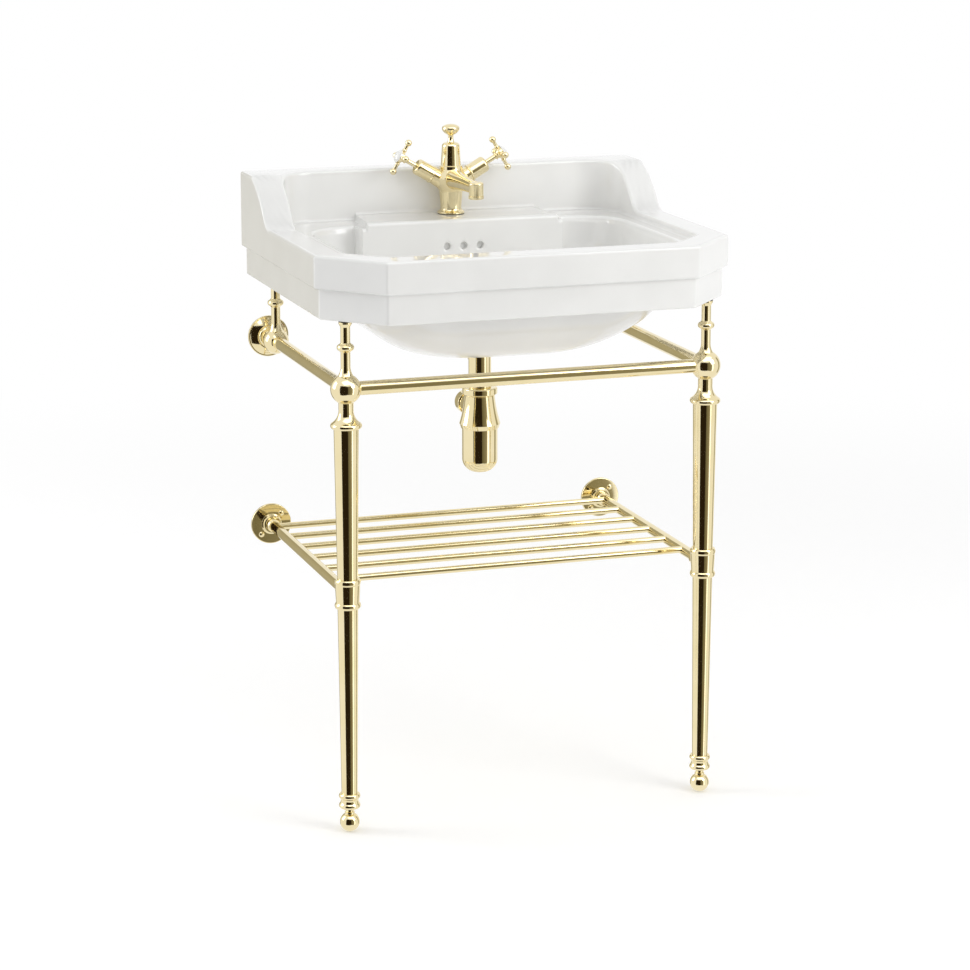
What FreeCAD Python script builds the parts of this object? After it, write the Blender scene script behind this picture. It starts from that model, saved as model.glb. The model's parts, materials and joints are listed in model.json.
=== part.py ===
import FreeCAD, Part
import os
import re

import Sketcher

# Console basin of white china on a gold-plated brass washstand, with a monobloc mixer,
# a pop-up waste and a bottle trap.
# The floor is Z = 0, the front faces -Y, and the wall is the plane Y = basin_depth / 2.
# Heights are above the floor. Names that end in _setback are distances out from the wall.

SIZES = [
    # china basin
    ("basin_width", 610, "over the two straight sides"),
    ("basin_depth", 490, "wall to front edge"),
    ("corner_across", 78, "front corner cut, along X"),
    ("corner_back", 85, "front corner cut, along Y"),
    ("rim_top", 819, "top of the raised lip"),
    ("rim_height", 46, "upper band of the china"),
    ("apron_height", 43, "lower band of the china"),
    ("apron_inset", 7.4, "how far the lower band stands back"),
    ("upstand_height", 66, "back wall above the lip"),
    ("upstand_thick", 40, "back wall"),
    ("lip_width", 43, "raised lip and side wings"),
    ("inner_round", 55, "inside corner between back wall and wing"),
    ("wing_top_setback", 67, "end of the flat top of a wing"),
    ("wing_foot_setback", 165, "where a wing runs out on the lip"),
    ("deck_drop", 10, "lip down to the deck inside it"),
    ("deck_thick", 14, "china under the deck"),
    ("wall_thick", 12, "china walls"),
    ("shelf_rise", 8, "tap platform above the deck"),
    ("shelf_back_half", 141, "half width of the platform at the back wall"),
    ("shelf_front_half", 148, "half width of the platform at its front"),
    ("block_half", 157, "half width of the block under the platform"),
    ("block_setback", 130, "front of the tap platform"),
    ("block_foot", 22, "bowl's floor up to the foot of the block"),
    ("leg_pad", 125, "solid china corner over a front leg"),
    ("rear_pad", 78, "solid china corner over a rear stem"),
    # bowl
    ("bowl_half", 238, "half width of the opening"),
    ("bowl_rear", 97, "rear edge of the opening, out from the wall"),
    ("bowl_front", 430, "front edge of the opening, out from the wall"),
    ("bowl_round", 72, "corner radius of the opening"),
    ("bowl_deep", 147, "deck down to the bowl's floor"),
    ("floor_half", 92, "half width of the flat floor"),
    ("floor_rear", 150, "rear of the flat floor, out from the wall"),
    ("floor_front", 322, "front of the flat floor, out from the wall"),
    ("boss_top_radius", 31, "waste boss where it leaves the bowl"),
    ("boss_foot_radius", 22.5, "waste boss at its seat"),
    ("boss_drop", 24, "bowl's floor down to the seat under the boss"),
    ("boss_taper", 9, "height of the boss's cone"),
    ("waste_setback", 203, "waste axis out from the wall"),
    ("waste_hole_radius", 18, "hole through the boss"),
    ("overflow_radius", 5.4, "overflow hole"),
    ("overflow_pitch", 25.5, "between overflow holes"),
    ("overflow_height", 777, "axis of the overflow holes"),
    ("overflow_deep", 8, "depth of an overflow hole"),
    ("tap_hole_radius", 17.5, "hole in the tap platform"),
    ("basin_bolt_spacing", 280, "between the wall bolt holes"),
    ("basin_bolt_radius", 7, "wall bolt hole"),
    ("basin_bolt_height", 752, "axis of the wall bolt holes"),
    # mixer
    ("tap_setback", 68, "tap axis out from the wall"),
    ("gasket_thick", 1, "rubber under the mixer"),
    ("mixer_foot_radius", 20.5, "base ring of the mixer"),
    ("mixer_foot_thick", 3, "base ring of the mixer"),
    ("column_low_radius", 15.6, "mixer column above its base ring"),
    ("column_top_radius", 18.6, "mixer column under the arms"),
    ("column_height", 33, "base ring to the arms"),
    ("valve_centre", 41, "where the arm axes meet, above the mixer's foot"),
    ("valve_tilt", 30, "arms above the level, degrees"),
    ("arm_radius", 12, "mixer arm"),
    ("arm_long", 33, "axes' meeting point to the end of an arm"),
    ("tower_low_radius", 15.3, "foot of the centre tower"),
    ("tower_top_radius", 13.2, "top of the centre tower"),
    ("tower_foot", 71, "foot of the tower above the mixer's foot"),
    ("tower_top", 105, "top of the tower above the mixer's foot"),
    ("tower_round", 4, "rounding at the tower's shoulder"),
    ("shank_radius", 14, "threaded shank through the china"),
    ("shank_long", 50, "threaded shank"),
    ("spout_reach", 119, "tap axis to outlet axis"),
    ("spout_radius", 10, "spout tube"),
    ("spout_axis", 51.5, "spout axis above the mixer's foot"),
    ("spout_collar_radius", 12.4, "bead where the spout leaves the column"),
    ("outlet_radius", 10.7, "outlet end of the spout"),
    ("outlet_drop", 11, "spout axis down to the aerator"),
    ("aerator_radius", 11.2, "aerator ring"),
    ("aerator_height", 4.5, "aerator ring"),
    ("cover_radius", 12.2, "valve cover"),
    ("cover_bead_radius", 13.4, "bead at a valve cover's foot"),
    ("cover_bead_width", 3, "bead at a valve cover's foot"),
    ("cover_long", 30, "valve cover"),
    ("cover_end_thick", 8, "end wall of a valve cover"),
    ("cover_round", 4.5, "rounded end of a valve cover"),
    ("cartridge_radius", 9, "ceramic disc cartridge"),
    ("cartridge_long", 34, "ceramic disc cartridge"),
    ("spindle_radius", 3.7, "valve spindle"),
    ("spindle_fit", 0.08, "radial running clearance of a spindle"),
    ("handle_reach", 89.5, "axes' meeting point to the cross of a handle"),
    ("handle_arm", 24, "handle axis to a ball"),
    ("handle_arm_radius", 2.6, "handle arm"),
    ("handle_ball_radius", 5, "ball on a handle arm"),
    ("handle_bead_radius", 3.4, "bead where an arm leaves the hub"),
    ("handle_bead_out", 1.4, "bead's centre outside the hub"),
    ("hub_radius", 9.6, "handle hub"),
    ("hub_neck_radius", 5.2, "handle hub at the spindle"),
    ("hub_long", 13, "handle hub"),
    ("index_radius", 10.4, "white china button"),
    ("index_rise", 6.5, "white china button"),
    ("tail_radius", 4, "copper inlet tail"),
    ("tail_wall", 0.8, "wall of an inlet tail"),
    ("tail_offset", 8, "inlet tail off the tap axis"),
    ("tail_long", 75, "inlet tail below the shank"),
    ("tail_seat", 10, "inlet tail inside the shank"),
    ("washer_thick", 3, "washer under the tap platform"),
    ("mixer_nut_radius", 21, "back nut of the mixer, across corners"),
    ("mixer_nut_height", 9, "back nut of the mixer"),
    # pop-up waste
    ("lift_rod_radius", 2.5, "lift rod"),
    ("lift_fit", 0.1, "radial running clearance of the lift rod"),
    ("knob_radius", 13, "lift knob"),
    ("knob_height", 27, "lift knob"),
    ("knob_neck_radius", 3.8, "waist of the lift knob"),
    ("knob_gap", 0.3, "knob above the tower at rest"),
    ("pivot_gap", 7, "waste tube to pivot ball centre"),
    ("pivot_drop", 19, "seat under the boss down to the pivot ball"),
    ("pivot_ball_radius", 5, "pivot ball"),
    ("pivot_rod_radius", 2.4, "pivot rod"),
    ("pivot_rod_past", 9, "pivot rod past the strap"),
    ("pivot_tilt", 2, "rod at rest, rear end up, degrees"),
    ("pivot_port_radius", 7.5, "port on the waste body"),
    ("pivot_nut_radius", 9.5, "nut on the port, across corners"),
    ("pivot_fit", 0.1, "radial running clearance of the pivot ball"),
    ("strap_width", 12, "perforated strap"),
    ("strap_thick", 2, "perforated strap"),
    ("strap_above", 34, "strap above the pivot rod's hole"),
    ("strap_below", 9, "strap below the pivot rod's hole"),
    ("strap_screw_radius", 1.5, "thumb screw of the strap"),
    ("strap_hole_radius", 3.5, "hole that the pivot rod passes through"),
    ("clevis_radius", 5.5, "clevis at the foot of the lift rod"),
    ("clevis_height", 16, "clevis at the foot of the lift rod"),
    ("waste_tube_radius", 16.75, "waste tail"),
    ("waste_bore_radius", 14.5, "bore of the waste tail"),
    ("waste_flange_radius", 32, "waste flange in the bowl"),
    ("waste_flange_thick", 3, "waste flange in the bowl"),
    ("waste_seal_thick", 1.5, "seal under the waste flange"),
    ("waste_washer_thick", 2.5, "rubber washer under the boss"),
    ("waste_nut_radius", 23, "round back nut of the waste"),
    ("waste_nut_height", 6, "round back nut of the waste"),
    ("plug_radius", 24, "pop-up plug"),
    ("plug_thick", 4, "pop-up plug"),
    ("plug_open", 6.5, "plug above its seat at rest"),
    ("plug_stem_radius", 3, "stem of the plug"),
    ("plug_guide_radius", 14.2, "guide vanes of the plug"),
    ("vane_thick", 1.6, "guide vanes of the plug"),
    ("vane_height", 14, "guide vanes of the plug"),
    # bottle trap
    ("trap_drop", 59, "seat under the boss down to the trap's inlet nut"),
    ("trap_nut_radius", 26, "inlet nut"),
    ("trap_nut_height", 10, "inlet nut"),
    ("trap_nut_lip", 2, "inward lip of the inlet nut"),
    ("trap_neck_radius", 21, "threaded neck of the trap body"),
    ("trap_shoulder", 2, "neck of the trap body below its nut"),
    ("tail_depth", 4, "waste tail below the inlet nut"),
    ("skirt_top_radius", 22, "trap body, top of its skirt"),
    ("skirt_foot_radius", 30.3, "trap body, foot of its skirt"),
    ("skirt_height", 42, "trap body's skirt"),
    ("skirt_lip", 7, "chamfered lip under the skirt"),
    ("cup_radius", 26.3, "trap cup"),
    ("cup_round", 20, "rounded bottom of the cup"),
    ("cup_deep", 66, "foot of the trap's body down to the bottom of its cup"),
    ("trap_wall", 2.2, "walls of the trap"),
    ("dip_radius", 14, "dip tube"),
    ("dip_clear", 26, "bottom of the cup up to the dip tube"),
    ("outlet_above", 27, "foot of the trap's body up to the axis of its outlet"),
    ("outlet_spigot_radius", 16, "threaded outlet of the trap"),
    ("outlet_bore_radius", 12.5, "bore of the outlet"),
    ("outlet_long", 64, "trap axis to the end of the outlet"),
    ("outlet_nut_radius", 18, "domed outlet nut"),
    ("outlet_nut_long", 20, "domed outlet nut"),
    ("outlet_nut_past", 4, "outlet nut past the end of the outlet"),
    ("waste_pipe_radius", 14.1, "socket in the outlet for a waste pipe"),
    ("waste_pipe_socket", 25, "socket in the outlet for a waste pipe"),
    ("dip_flange_thick", 3, "flange that the dip tube hangs by"),
    ("cup_neck_radius", 24.3, "threaded neck of the cup"),
    ("cup_neck_long", 10, "threaded neck of the cup"),
    ("ring_thick", 1.6, "rubber rings of the trap"),
    # washstand
    ("leg_inset", 39, "legs in from the ends of the basin"),
    ("leg_setback", 420, "front legs out from the wall"),
    ("rear_setback", 47, "rear stems out from the wall"),
    ("ball_drop", 95, "apron of the basin down to the front and rear balls"),
    ("front_ball_radius", 21.5, "ball on a front leg"),
    ("rear_ball_radius", 19, "ball at the wall"),
    ("rail_radius", 9.8, "towel rails under the basin"),
    ("rail_seat", 6, "rail end let into a ball"),
    ("rail_fit", 0.03, "radial clearance of a fixed rail in its socket"),
    ("stem_radius", 6.75, "stems up to the china"),
    ("stem_bead_above", 58, "balls up to the bead on a stem"),
    ("stem_bead_radius", 12, "bead on a stem"),
    ("stem_bead_width", 9, "bead on a stem"),
    ("stem_flare_radius", 9.25, "stem under the china"),
    ("stem_flare_height", 7, "stem under the china"),
    ("stem_seat", 5, "stem foot let into a ball"),
    ("pad_thick", 1.5, "washer between stem and china"),
    ("collar_drop", 51, "balls down to the collar on a leg"),
    ("collar_radius", 22, "collar on a leg"),
    ("collar_width", 7, "collar on a leg"),
    ("neck_radius", 10.5, "neck under a ball"),
    ("leg_top_radius", 17.5, "leg tube under the collar"),
    ("leg_sleeve_radius", 14.4, "leg tube at the sleeve"),
    ("leg_foot_radius", 11.4, "leg tube at the foot"),
    ("leg_bore_radius", 8, "bore of a leg tube"),
    ("leg_plug_long", 12, "casting let into the leg tube"),
    ("shelf_height", 346, "axis of the shelf rails"),
    ("sleeve_half", 17, "bead to middle of a sleeve"),
    ("sleeve_bead_radius", 18.5, "beads of a sleeve"),
    ("sleeve_bead_width", 8, "beads of a sleeve"),
    ("sleeve_top_radius", 17.7, "sleeve between its beads, top"),
    ("sleeve_foot_radius", 16.5, "sleeve between its beads, bottom"),
    ("foot_bead_radius", 15.2, "beads over the foot"),
    ("foot_bead_height", 52, "upper foot bead"),
    ("foot_bead_drop", 14, "upper to lower foot bead"),
    ("foot_bead_width", 7, "foot beads"),
    ("foot_waist_radius", 12.6, "between the foot beads"),
    ("foot_ball_radius", 14, "levelling ball foot"),
    ("foot_flat_radius", 4, "flat under the ball foot"),
    ("foot_neck_radius", 7, "neck of the ball foot"),
    ("foot_stud_radius", 5, "stud of the ball foot"),
    ("foot_stud_long", 30, "stud of the ball foot"),
    ("foot_fit", 0.08, "radial clearance of the foot's stud"),
    ("foot_travel", 5, "how far the foot screws in"),
    ("shelf_side_radius", 8, "side rails of the shelf"),
    ("side_boss_radius", 11, "boss of a side rail at the sleeve"),
    ("side_boss_long", 12, "boss of a side rail at the sleeve"),
    ("shelf_rail_radius", 5, "rails of the shelf"),
    ("shelf_first", 32, "first shelf rail out from the wall"),
    ("shelf_pitch", 64, "between shelf rails"),
    ("shelf_rail_rise", 2, "shelf rails above the side rails' axis"),
    ("shelf_rail_seat", 5, "shelf rail let into a side rail"),
    ("flange_radius", 31, "wall flanges"),
    ("flange_rim", 3, "edge of an upper wall flange"),
    ("flange_dome", 13, "ogee of an upper wall flange"),
    ("flange_ring_radius", 15.5, "raised ring of an upper wall flange"),
    ("flange_neck_radius", 8, "neck of an upper wall flange"),
    ("plate_thick", 4, "lower wall flange"),
    ("plate_ring_radius", 13.5, "stepped ring of a lower wall flange"),
    ("plate_ring_long", 6, "stepped ring of a lower wall flange"),
    ("plate_ball_radius", 10.5, "small ball on a lower wall flange"),
    ("stud_hole_radius", 4, "hole for a wall stud in an upper flange"),
    ("stud_hole_long", 24, "hole for a wall stud in an upper flange"),
    ("screw_circle", 22, "screws out from a lower flange's axis"),
    ("screw_hole_radius", 2.6, "screw hole in a lower flange"),
    ("screw_head_radius", 4.6, "head of a wall screw"),
    ("screw_head_rise", 2.2, "head of a wall screw"),
]
SHELF_RAILS = 6
FLANGE_SCREWS = 2
NUT_SIDES = 6

doc = FreeCAD.newDocument("console_basin")
sheet = doc.addObject("Spreadsheet::Sheet", "Sizes")
for row, (size_name, size, note) in enumerate(SIZES, start=1):
    sheet.set(f"A{row}", size_name)
    sheet.set(f"B{row}", str(size))
    sheet.set(f"C{row}", note)
    sheet.setAlias(f"B{row}", size_name)
doc.recompute()

NAMES = {size_name for size_name, size, note in SIZES}
WORD = re.compile(r"[a-z][a-z_]*")
PARTS = []


def bind(text):
    """An expression with the sheet's name in front of each size."""
    return WORD.sub(lambda m: "Sizes." + m.group() if m.group() in NAMES else m.group(), text)


def number(text):
    """The present value of an expression."""
    return float(sheet.evalExpression(text))


# Places that several pieces share, as expressions of the sizes.
WALL = "(basin_depth / 2)"
RIM_BOTTOM = "(rim_top - rim_height)"
APRON_BOTTOM = "(rim_top - rim_height - apron_height)"
UPSTAND_TOP = "(rim_top + upstand_height)"
DECK = "(rim_top - deck_drop)"
DECK_UNDERSIDE = f"({DECK} - deck_thick)"
BOWL_FLOOR = f"({DECK} - bowl_deep)"
BOSS_BOTTOM = f"({BOWL_FLOOR} - boss_drop)"
PIVOT_HEIGHT = f"({BOSS_BOTTOM} - pivot_drop)"
TRAP_TOP = f"({BOSS_BOTTOM} - trap_drop)"
LEG_HALF = "(basin_width / 2 - leg_inset)"
SHELF_TOP = f"({DECK} + shelf_rise)"
INNER_HALF = "(basin_width / 2 - lip_width)"
CUT_LINE = "sqrt(corner_across^2 + corner_back^2)"
MIXER_FOOT = f"({SHELF_TOP} + gasket_thick)"
TAP_Y = f"({WALL} - tap_setback)"
WASTE_Y = f"({WALL} - waste_setback)"
KNOB_FOOT = f"({MIXER_FOOT} + tower_top + knob_gap)"
PIVOT_REACH = "(waste_tube_radius + pivot_gap)"
PIVOT_Y = f"({WASTE_Y} + {PIVOT_REACH})"
STRAP_REACH = f"(waste_setback - tap_setback - {PIVOT_REACH})"
STRAP_HOLE = f"({PIVOT_HEIGHT} + {STRAP_REACH} * tan(pivot_tilt))"
STRAP_TOP = f"({STRAP_HOLE} + strap_above)"
CLEVIS_FOOT = f"({STRAP_TOP} - clevis_height / 2)"
WASTE_SEAT = f"({BOSS_BOTTOM} + boss_taper)"
TRAP_NECK = f"({TRAP_TOP} - trap_nut_lip - ring_thick)"
TRAP_SHOULDER = f"({TRAP_TOP} - trap_nut_height)"
SKIRT_FOOT = f"({TRAP_SHOULDER} - trap_shoulder - skirt_height)"
BODY_FOOT = f"({SKIRT_FOOT} - skirt_lip)"
CUP_BOTTOM = f"({BODY_FOOT} - cup_deep)"
DIP_BOTTOM = f"({CUP_BOTTOM} + dip_clear)"
OUTLET_HEIGHT = f"({BODY_FOOT} + outlet_above)"
TAIL_FOOT = f"({TRAP_SHOULDER} - tail_depth)"
LEG_Y = f"({WALL} - leg_setback)"
REAR_Y = f"({WALL} - rear_setback)"
STEM_TOP = f"({APRON_BOTTOM} - pad_thick)"
FRONT_RAIL_END = "(sqrt(front_ball_radius^2 - rail_radius^2) - rail_seat)"
REAR_RAIL_END = "(sqrt(rear_ball_radius^2 - rail_radius^2) - rail_seat)"
BALL_AXIS = f"({APRON_BOTTOM} - ball_drop)"
STEM_BEAD = f"({BALL_AXIS} + stem_bead_above)"
COLLAR = f"({BALL_AXIS} - collar_drop)"
COLLAR_FOOT = f"({COLLAR} - collar_width / 2)"
SLEEVE_TOP = "(shelf_height + sleeve_half + sleeve_bead_width / 2)"
SLEEVE_BOTTOM = "(shelf_height - sleeve_half - sleeve_bead_width / 2)"
SLEEVE_SOCKET = "sleeve_bead_width"
FOOT_LOW_BEAD = "(foot_bead_height - foot_bead_drop)"
FOOT_SOCKET = f"({FOOT_LOW_BEAD} - foot_bead_width / 2)"
FOOT_CENTRE = "sqrt(foot_ball_radius^2 - foot_flat_radius^2)"
FOOT_SHOULDER = f"({FOOT_SOCKET} - foot_travel - 1)"
NECK_END = "(rear_setback - sqrt(rear_ball_radius^2 - flange_neck_radius^2) + rail_seat)"
SIDE_RAIL_START = "(sleeve_top_radius + 1)"
PLATE_BALL = "(plate_thick + plate_ring_long + plate_ball_radius * 0.5)"
PLATE_RAIL_END = f"({PLATE_BALL} + 1)"
ROUND = "(1 - sqrt(0.5))"


# Drawing helpers.

def place(shape, x="0", y="0", z="0", axis=None, turn=None):
    """Bind a Placement to the sizes: a turn about one axis, then a shift."""
    if axis is not None:
        shape.Placement = FreeCAD.Placement(FreeCAD.Vector(), FreeCAD.Rotation(axis, number(turn)))
        shape.setExpression("Placement.Rotation.Angle", bind(turn))
    for letter, text in (("x", x), ("y", y), ("z", z)):
        if text != "0":
            shape.setExpression(f"Placement.Base.{letter}", bind(text))


X_AXIS = FreeCAD.Vector(1, 0, 0)
Y_AXIS = FreeCAD.Vector(0, 1, 0)
TO_FRONT = {"axis": X_AXIS, "turn": "90"}
TO_WALL = {"axis": X_AXIS, "turn": "-90"}
TO_RIGHT = {"axis": Y_AXIS, "turn": "90"}


def keep(shape, label):
    """Name a finished sub-part; the label is also its file's name."""
    shape.Label = label
    PARTS.append(shape)
    return shape


def new_body(label, **where):
    body = doc.addObject("PartDesign::Body", label)
    place(body, **where)
    return keep(body, label)


def group(label, pieces):
    """Make one sub-part of several separate solids."""
    for piece in pieces:
        PARTS.remove(piece)
    compound = doc.addObject("Part::Compound", label)
    compound.Links = pieces
    return keep(compound, label)


def origin_feature(body, role):
    return [item for item in body.Origin.OriginFeatures if item.Role == role][0]


def new_sketch(body, name, role, height="0"):
    sketch = body.newObject("Sketcher::SketchObject", name)
    sketch.AttachmentSupport = [(origin_feature(body, role), "")]
    sketch.MapMode = "FlatFace"
    if height != "0":
        sketch.setExpression("AttachmentOffset.Base.z", bind(height))
    return sketch


def fix(sketch, kind, first, second, text):
    """Hold one coordinate of a point of the sketch at an expression of the sizes."""
    count = sketch.addConstraint(Sketcher.Constraint(kind, -1, 1, first, second, number(text)))
    sketch.setExpression(f"Constraints[{count}]", bind(text))


def fix_point(sketch, edge, end, x, y):
    fix(sketch, "DistanceX", edge, end, x)
    fix(sketch, "DistanceY", edge, end, y)


def draw(sketch, start, moves):
    """Draw a closed outline.

    A move of two texts is a line to that point. A move of four is an arc through the
    first pair of texts to the second pair. A line closes the outline.
    """
    here = start
    ends = []
    for move in list(moves) + [start]:
        target = move[-2:]
        if len(move) == 2 and target == here:
            continue
        begin = FreeCAD.Vector(number(here[0]), number(here[1]), 0)
        finish = FreeCAD.Vector(number(target[0]), number(target[1]), 0)
        if len(move) == 2:
            edge = sketch.addGeometry(Part.LineSegment(begin, finish), False)
        else:
            middle = FreeCAD.Vector(number(move[0]), number(move[1]), 0)
            edge = sketch.addGeometry(Part.Arc(begin, middle, finish), False)
            spot = sketch.addGeometry(Part.Point(middle), True)
            fix_point(sketch, spot, 1, move[0], move[1])
            sketch.addConstraint(Sketcher.Constraint("PointOnObject", spot, 1, edge))
        first = 1 if (sketch.getPoint(edge, 1) - begin).Length < 1e-6 else 2
        fix_point(sketch, edge, first, here[0], here[1])
        ends.append((edge, first, 3 - first))
        here = target
    for (edge, first, last), (after, entry, leave) in zip(ends, ends[1:] + ends[:1]):
        sketch.addConstraint(Sketcher.Constraint("Coincident", edge, last, after, entry))
    return sketch


def dome(radius, foot, top):
    """The move of an outline over a round cap, from its edge up to the axis."""
    rise = f"({top} - {foot})"
    curve = f"(({radius}^2 + {rise}^2) / (2 * {rise}))"
    return (f"{radius} / 2", f"{top} - {curve} + sqrt({curve}^2 - ({radius} / 2)^2)", "0", top)


def draw_circle(sketch, x, y, radius):
    centre = FreeCAD.Vector(number(x), number(y), 0)
    circle = Part.Circle(centre, FreeCAD.Vector(0, 0, 1), number(radius))
    edge = sketch.addGeometry(circle, False)
    fix_point(sketch, edge, 3, x, y)
    count = sketch.addConstraint(Sketcher.Constraint("Radius", edge, number(radius)))
    sketch.setExpression(f"Constraints[{count}]", bind(radius))
    return sketch


def pad(body, sketch, length):
    feature = body.newObject("PartDesign::Pad", sketch.Name + "_pad")
    feature.Profile = sketch
    feature.setExpression("Length", bind(length))
    return feature


def pocket(body, sketch, depth, reverse=False, both=False):
    """Cut against the sketch's normal, or along it when reversed."""
    feature = body.newObject("PartDesign::Pocket", sketch.Name + "_pocket")
    feature.Profile = sketch
    feature.Reversed = reverse
    feature.Midplane = both
    feature.setExpression("Length", bind(depth))
    return feature


def revolve(body, sketch, axis="V_Axis"):
    feature = body.newObject("PartDesign::Revolution", sketch.Name + "_turned")
    feature.Profile = sketch
    feature.ReferenceAxis = (sketch, [axis])
    feature.Angle = 360
    return feature


def loft(body, name, sketches, kind="AdditiveLoft"):
    feature = body.newObject("PartDesign::" + kind, name)
    feature.Profile = sketches[0]
    feature.Sections = sketches[1:]
    return feature


def turned(label, start, moves, **where):
    """A piece turned about its own Z axis from a half outline of (radius, height)."""
    body = new_body(label, **where)
    sketch = draw(new_sketch(body, label + "_profile", "XZ_Plane"), start, moves)
    revolve(body, sketch)
    return body


def primitive(body, kind, name, sizes, **where):
    feature = body.newObject("PartDesign::" + kind, name)
    for key, text in sizes.items():
        feature.setExpression(key, bind(text))
    place(feature, **where)
    return feature


def rod(body, name, radius, length, **where):
    return primitive(body, "AdditiveCylinder", name, {"Radius": radius, "Height": length}, **where)


def bore(body, name, radius, length, **where):
    sizes = {"Radius": radius, "Height": length}
    return primitive(body, "SubtractiveCylinder", name, sizes, **where)


def ball(body, name, radius, **where):
    return primitive(body, "AdditiveSphere", name, {"Radius": radius}, **where)


def washer(label, inner, outer, thick, **where):
    return turned(label, (inner, "0"), [(outer, "0"), (outer, thick), (inner, thick)], **where)


# The china basin.

def cut_corner_plan(inset, wall_inset="0"):
    """Half-hexagon plan of the basin, drawn in by an inset on all sides but the wall."""
    side = f"(basin_width / 2 - {inset})"
    front = f"(basin_depth / 2 - {inset})"
    side_end = f"(-basin_depth / 2 + corner_back + {inset} * ({CUT_LINE} - corner_back) / corner_across)"
    front_end = f"(basin_width / 2 - corner_across - {inset} * ({CUT_LINE} - corner_across) / corner_back)"
    rear = f"({WALL} - {wall_inset})"
    return [
        (f"-{side}", rear),
        (f"-{side}", side_end),
        (f"-{front_end}", f"-{front}"),
        (front_end, f"-{front}"),
        (side, side_end),
        (side, rear),
    ]


def upstand_plan(rear):
    """Inner line of the back wall and the wings, from the left wing round to the right one."""
    corner = f"({INNER_HALF} - inner_round)"
    back = f"({WALL} - upstand_thick)"
    return [
        (f"-{INNER_HALF}", rear),
        (f"-{INNER_HALF}", f"({back} - inner_round)"),
        (f"-({INNER_HALF} - inner_round * {ROUND})", f"({back} - inner_round * {ROUND})",
         f"-{corner}", back),
        (corner, back),
        (f"({INNER_HALF} - inner_round * {ROUND})", f"({back} - inner_round * {ROUND})",
         INNER_HALF, f"({back} - inner_round)"),
        (INNER_HALF, rear),
    ]


def bowl_section(body, name, height, half, rear, front, corner):
    """A rounded rectangle: half width, rear and front as distances out from the wall."""
    near = f"({WALL} - {rear})"
    far = f"({WALL} - {front})"
    inner = f"({half} - {corner})"
    bulge = f"({half} - {corner} * {ROUND})"
    near_bulge = f"({near} - {corner} * {ROUND})"
    far_bulge = f"({far} + {corner} * {ROUND})"
    near_side = f"({near} - {corner})"
    far_side = f"({far} + {corner})"
    sketch = new_sketch(body, name, "XY_Plane", height)
    moves = [
        (inner, near),
        (bulge, near_bulge, half, near_side),
        (half, far_side),
        (bulge, far_bulge, inner, far),
        (f"-{inner}", far),
        (f"-{bulge}", far_bulge, f"-{half}", far_side),
        (f"-{half}", near_side),
        (f"-{bulge}", near_bulge, f"-{inner}", near),
    ]
    return draw(sketch, (f"-{inner}", near), moves)


def bowl_levels(skin, top):
    """Sections of the bowl from its opening down to its floor, grown by a wall thickness.

    The two middle sections are shares of the opening and of the floor, which gives the wall its curve.
    """
    deep = f"({DECK} - {BOWL_FLOOR})"
    low = f"({BOWL_FLOOR} - {skin})"
    return [
        (top, f"(bowl_half + {skin})", f"(bowl_rear - {skin})", f"(bowl_front + {skin})",
         f"(bowl_round + {skin})"),
        (f"({DECK} - {deep} * 0.42)", f"(bowl_half * 0.945 + {skin})",
         f"(bowl_rear + floor_rear * 0.06 - {skin})", f"(bowl_front * 0.975 + {skin})",
         f"(bowl_round * 1.05 + {skin})"),
        (f"({DECK} - {deep} * 0.8)", f"(bowl_half * 0.78 + {skin})",
         f"(bowl_rear * 0.55 + floor_rear * 0.45 - {skin})",
         f"(bowl_front * 0.66 + floor_front * 0.34 + {skin})", f"(bowl_round * 1.05 + {skin})"),
        (low, f"(floor_half + {skin})", f"(floor_rear - {skin})", f"(floor_front + {skin})",
         f"(bowl_round * 0.9 + {skin})"),
    ]


def bowl_loft(body, name, skin, top, kind):
    sections = []
    for count, level in enumerate(bowl_levels(skin, top)):
        sections.append(bowl_section(body, f"{name}_level_{count}", *level))
    return loft(body, name, sections, kind)


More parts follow.
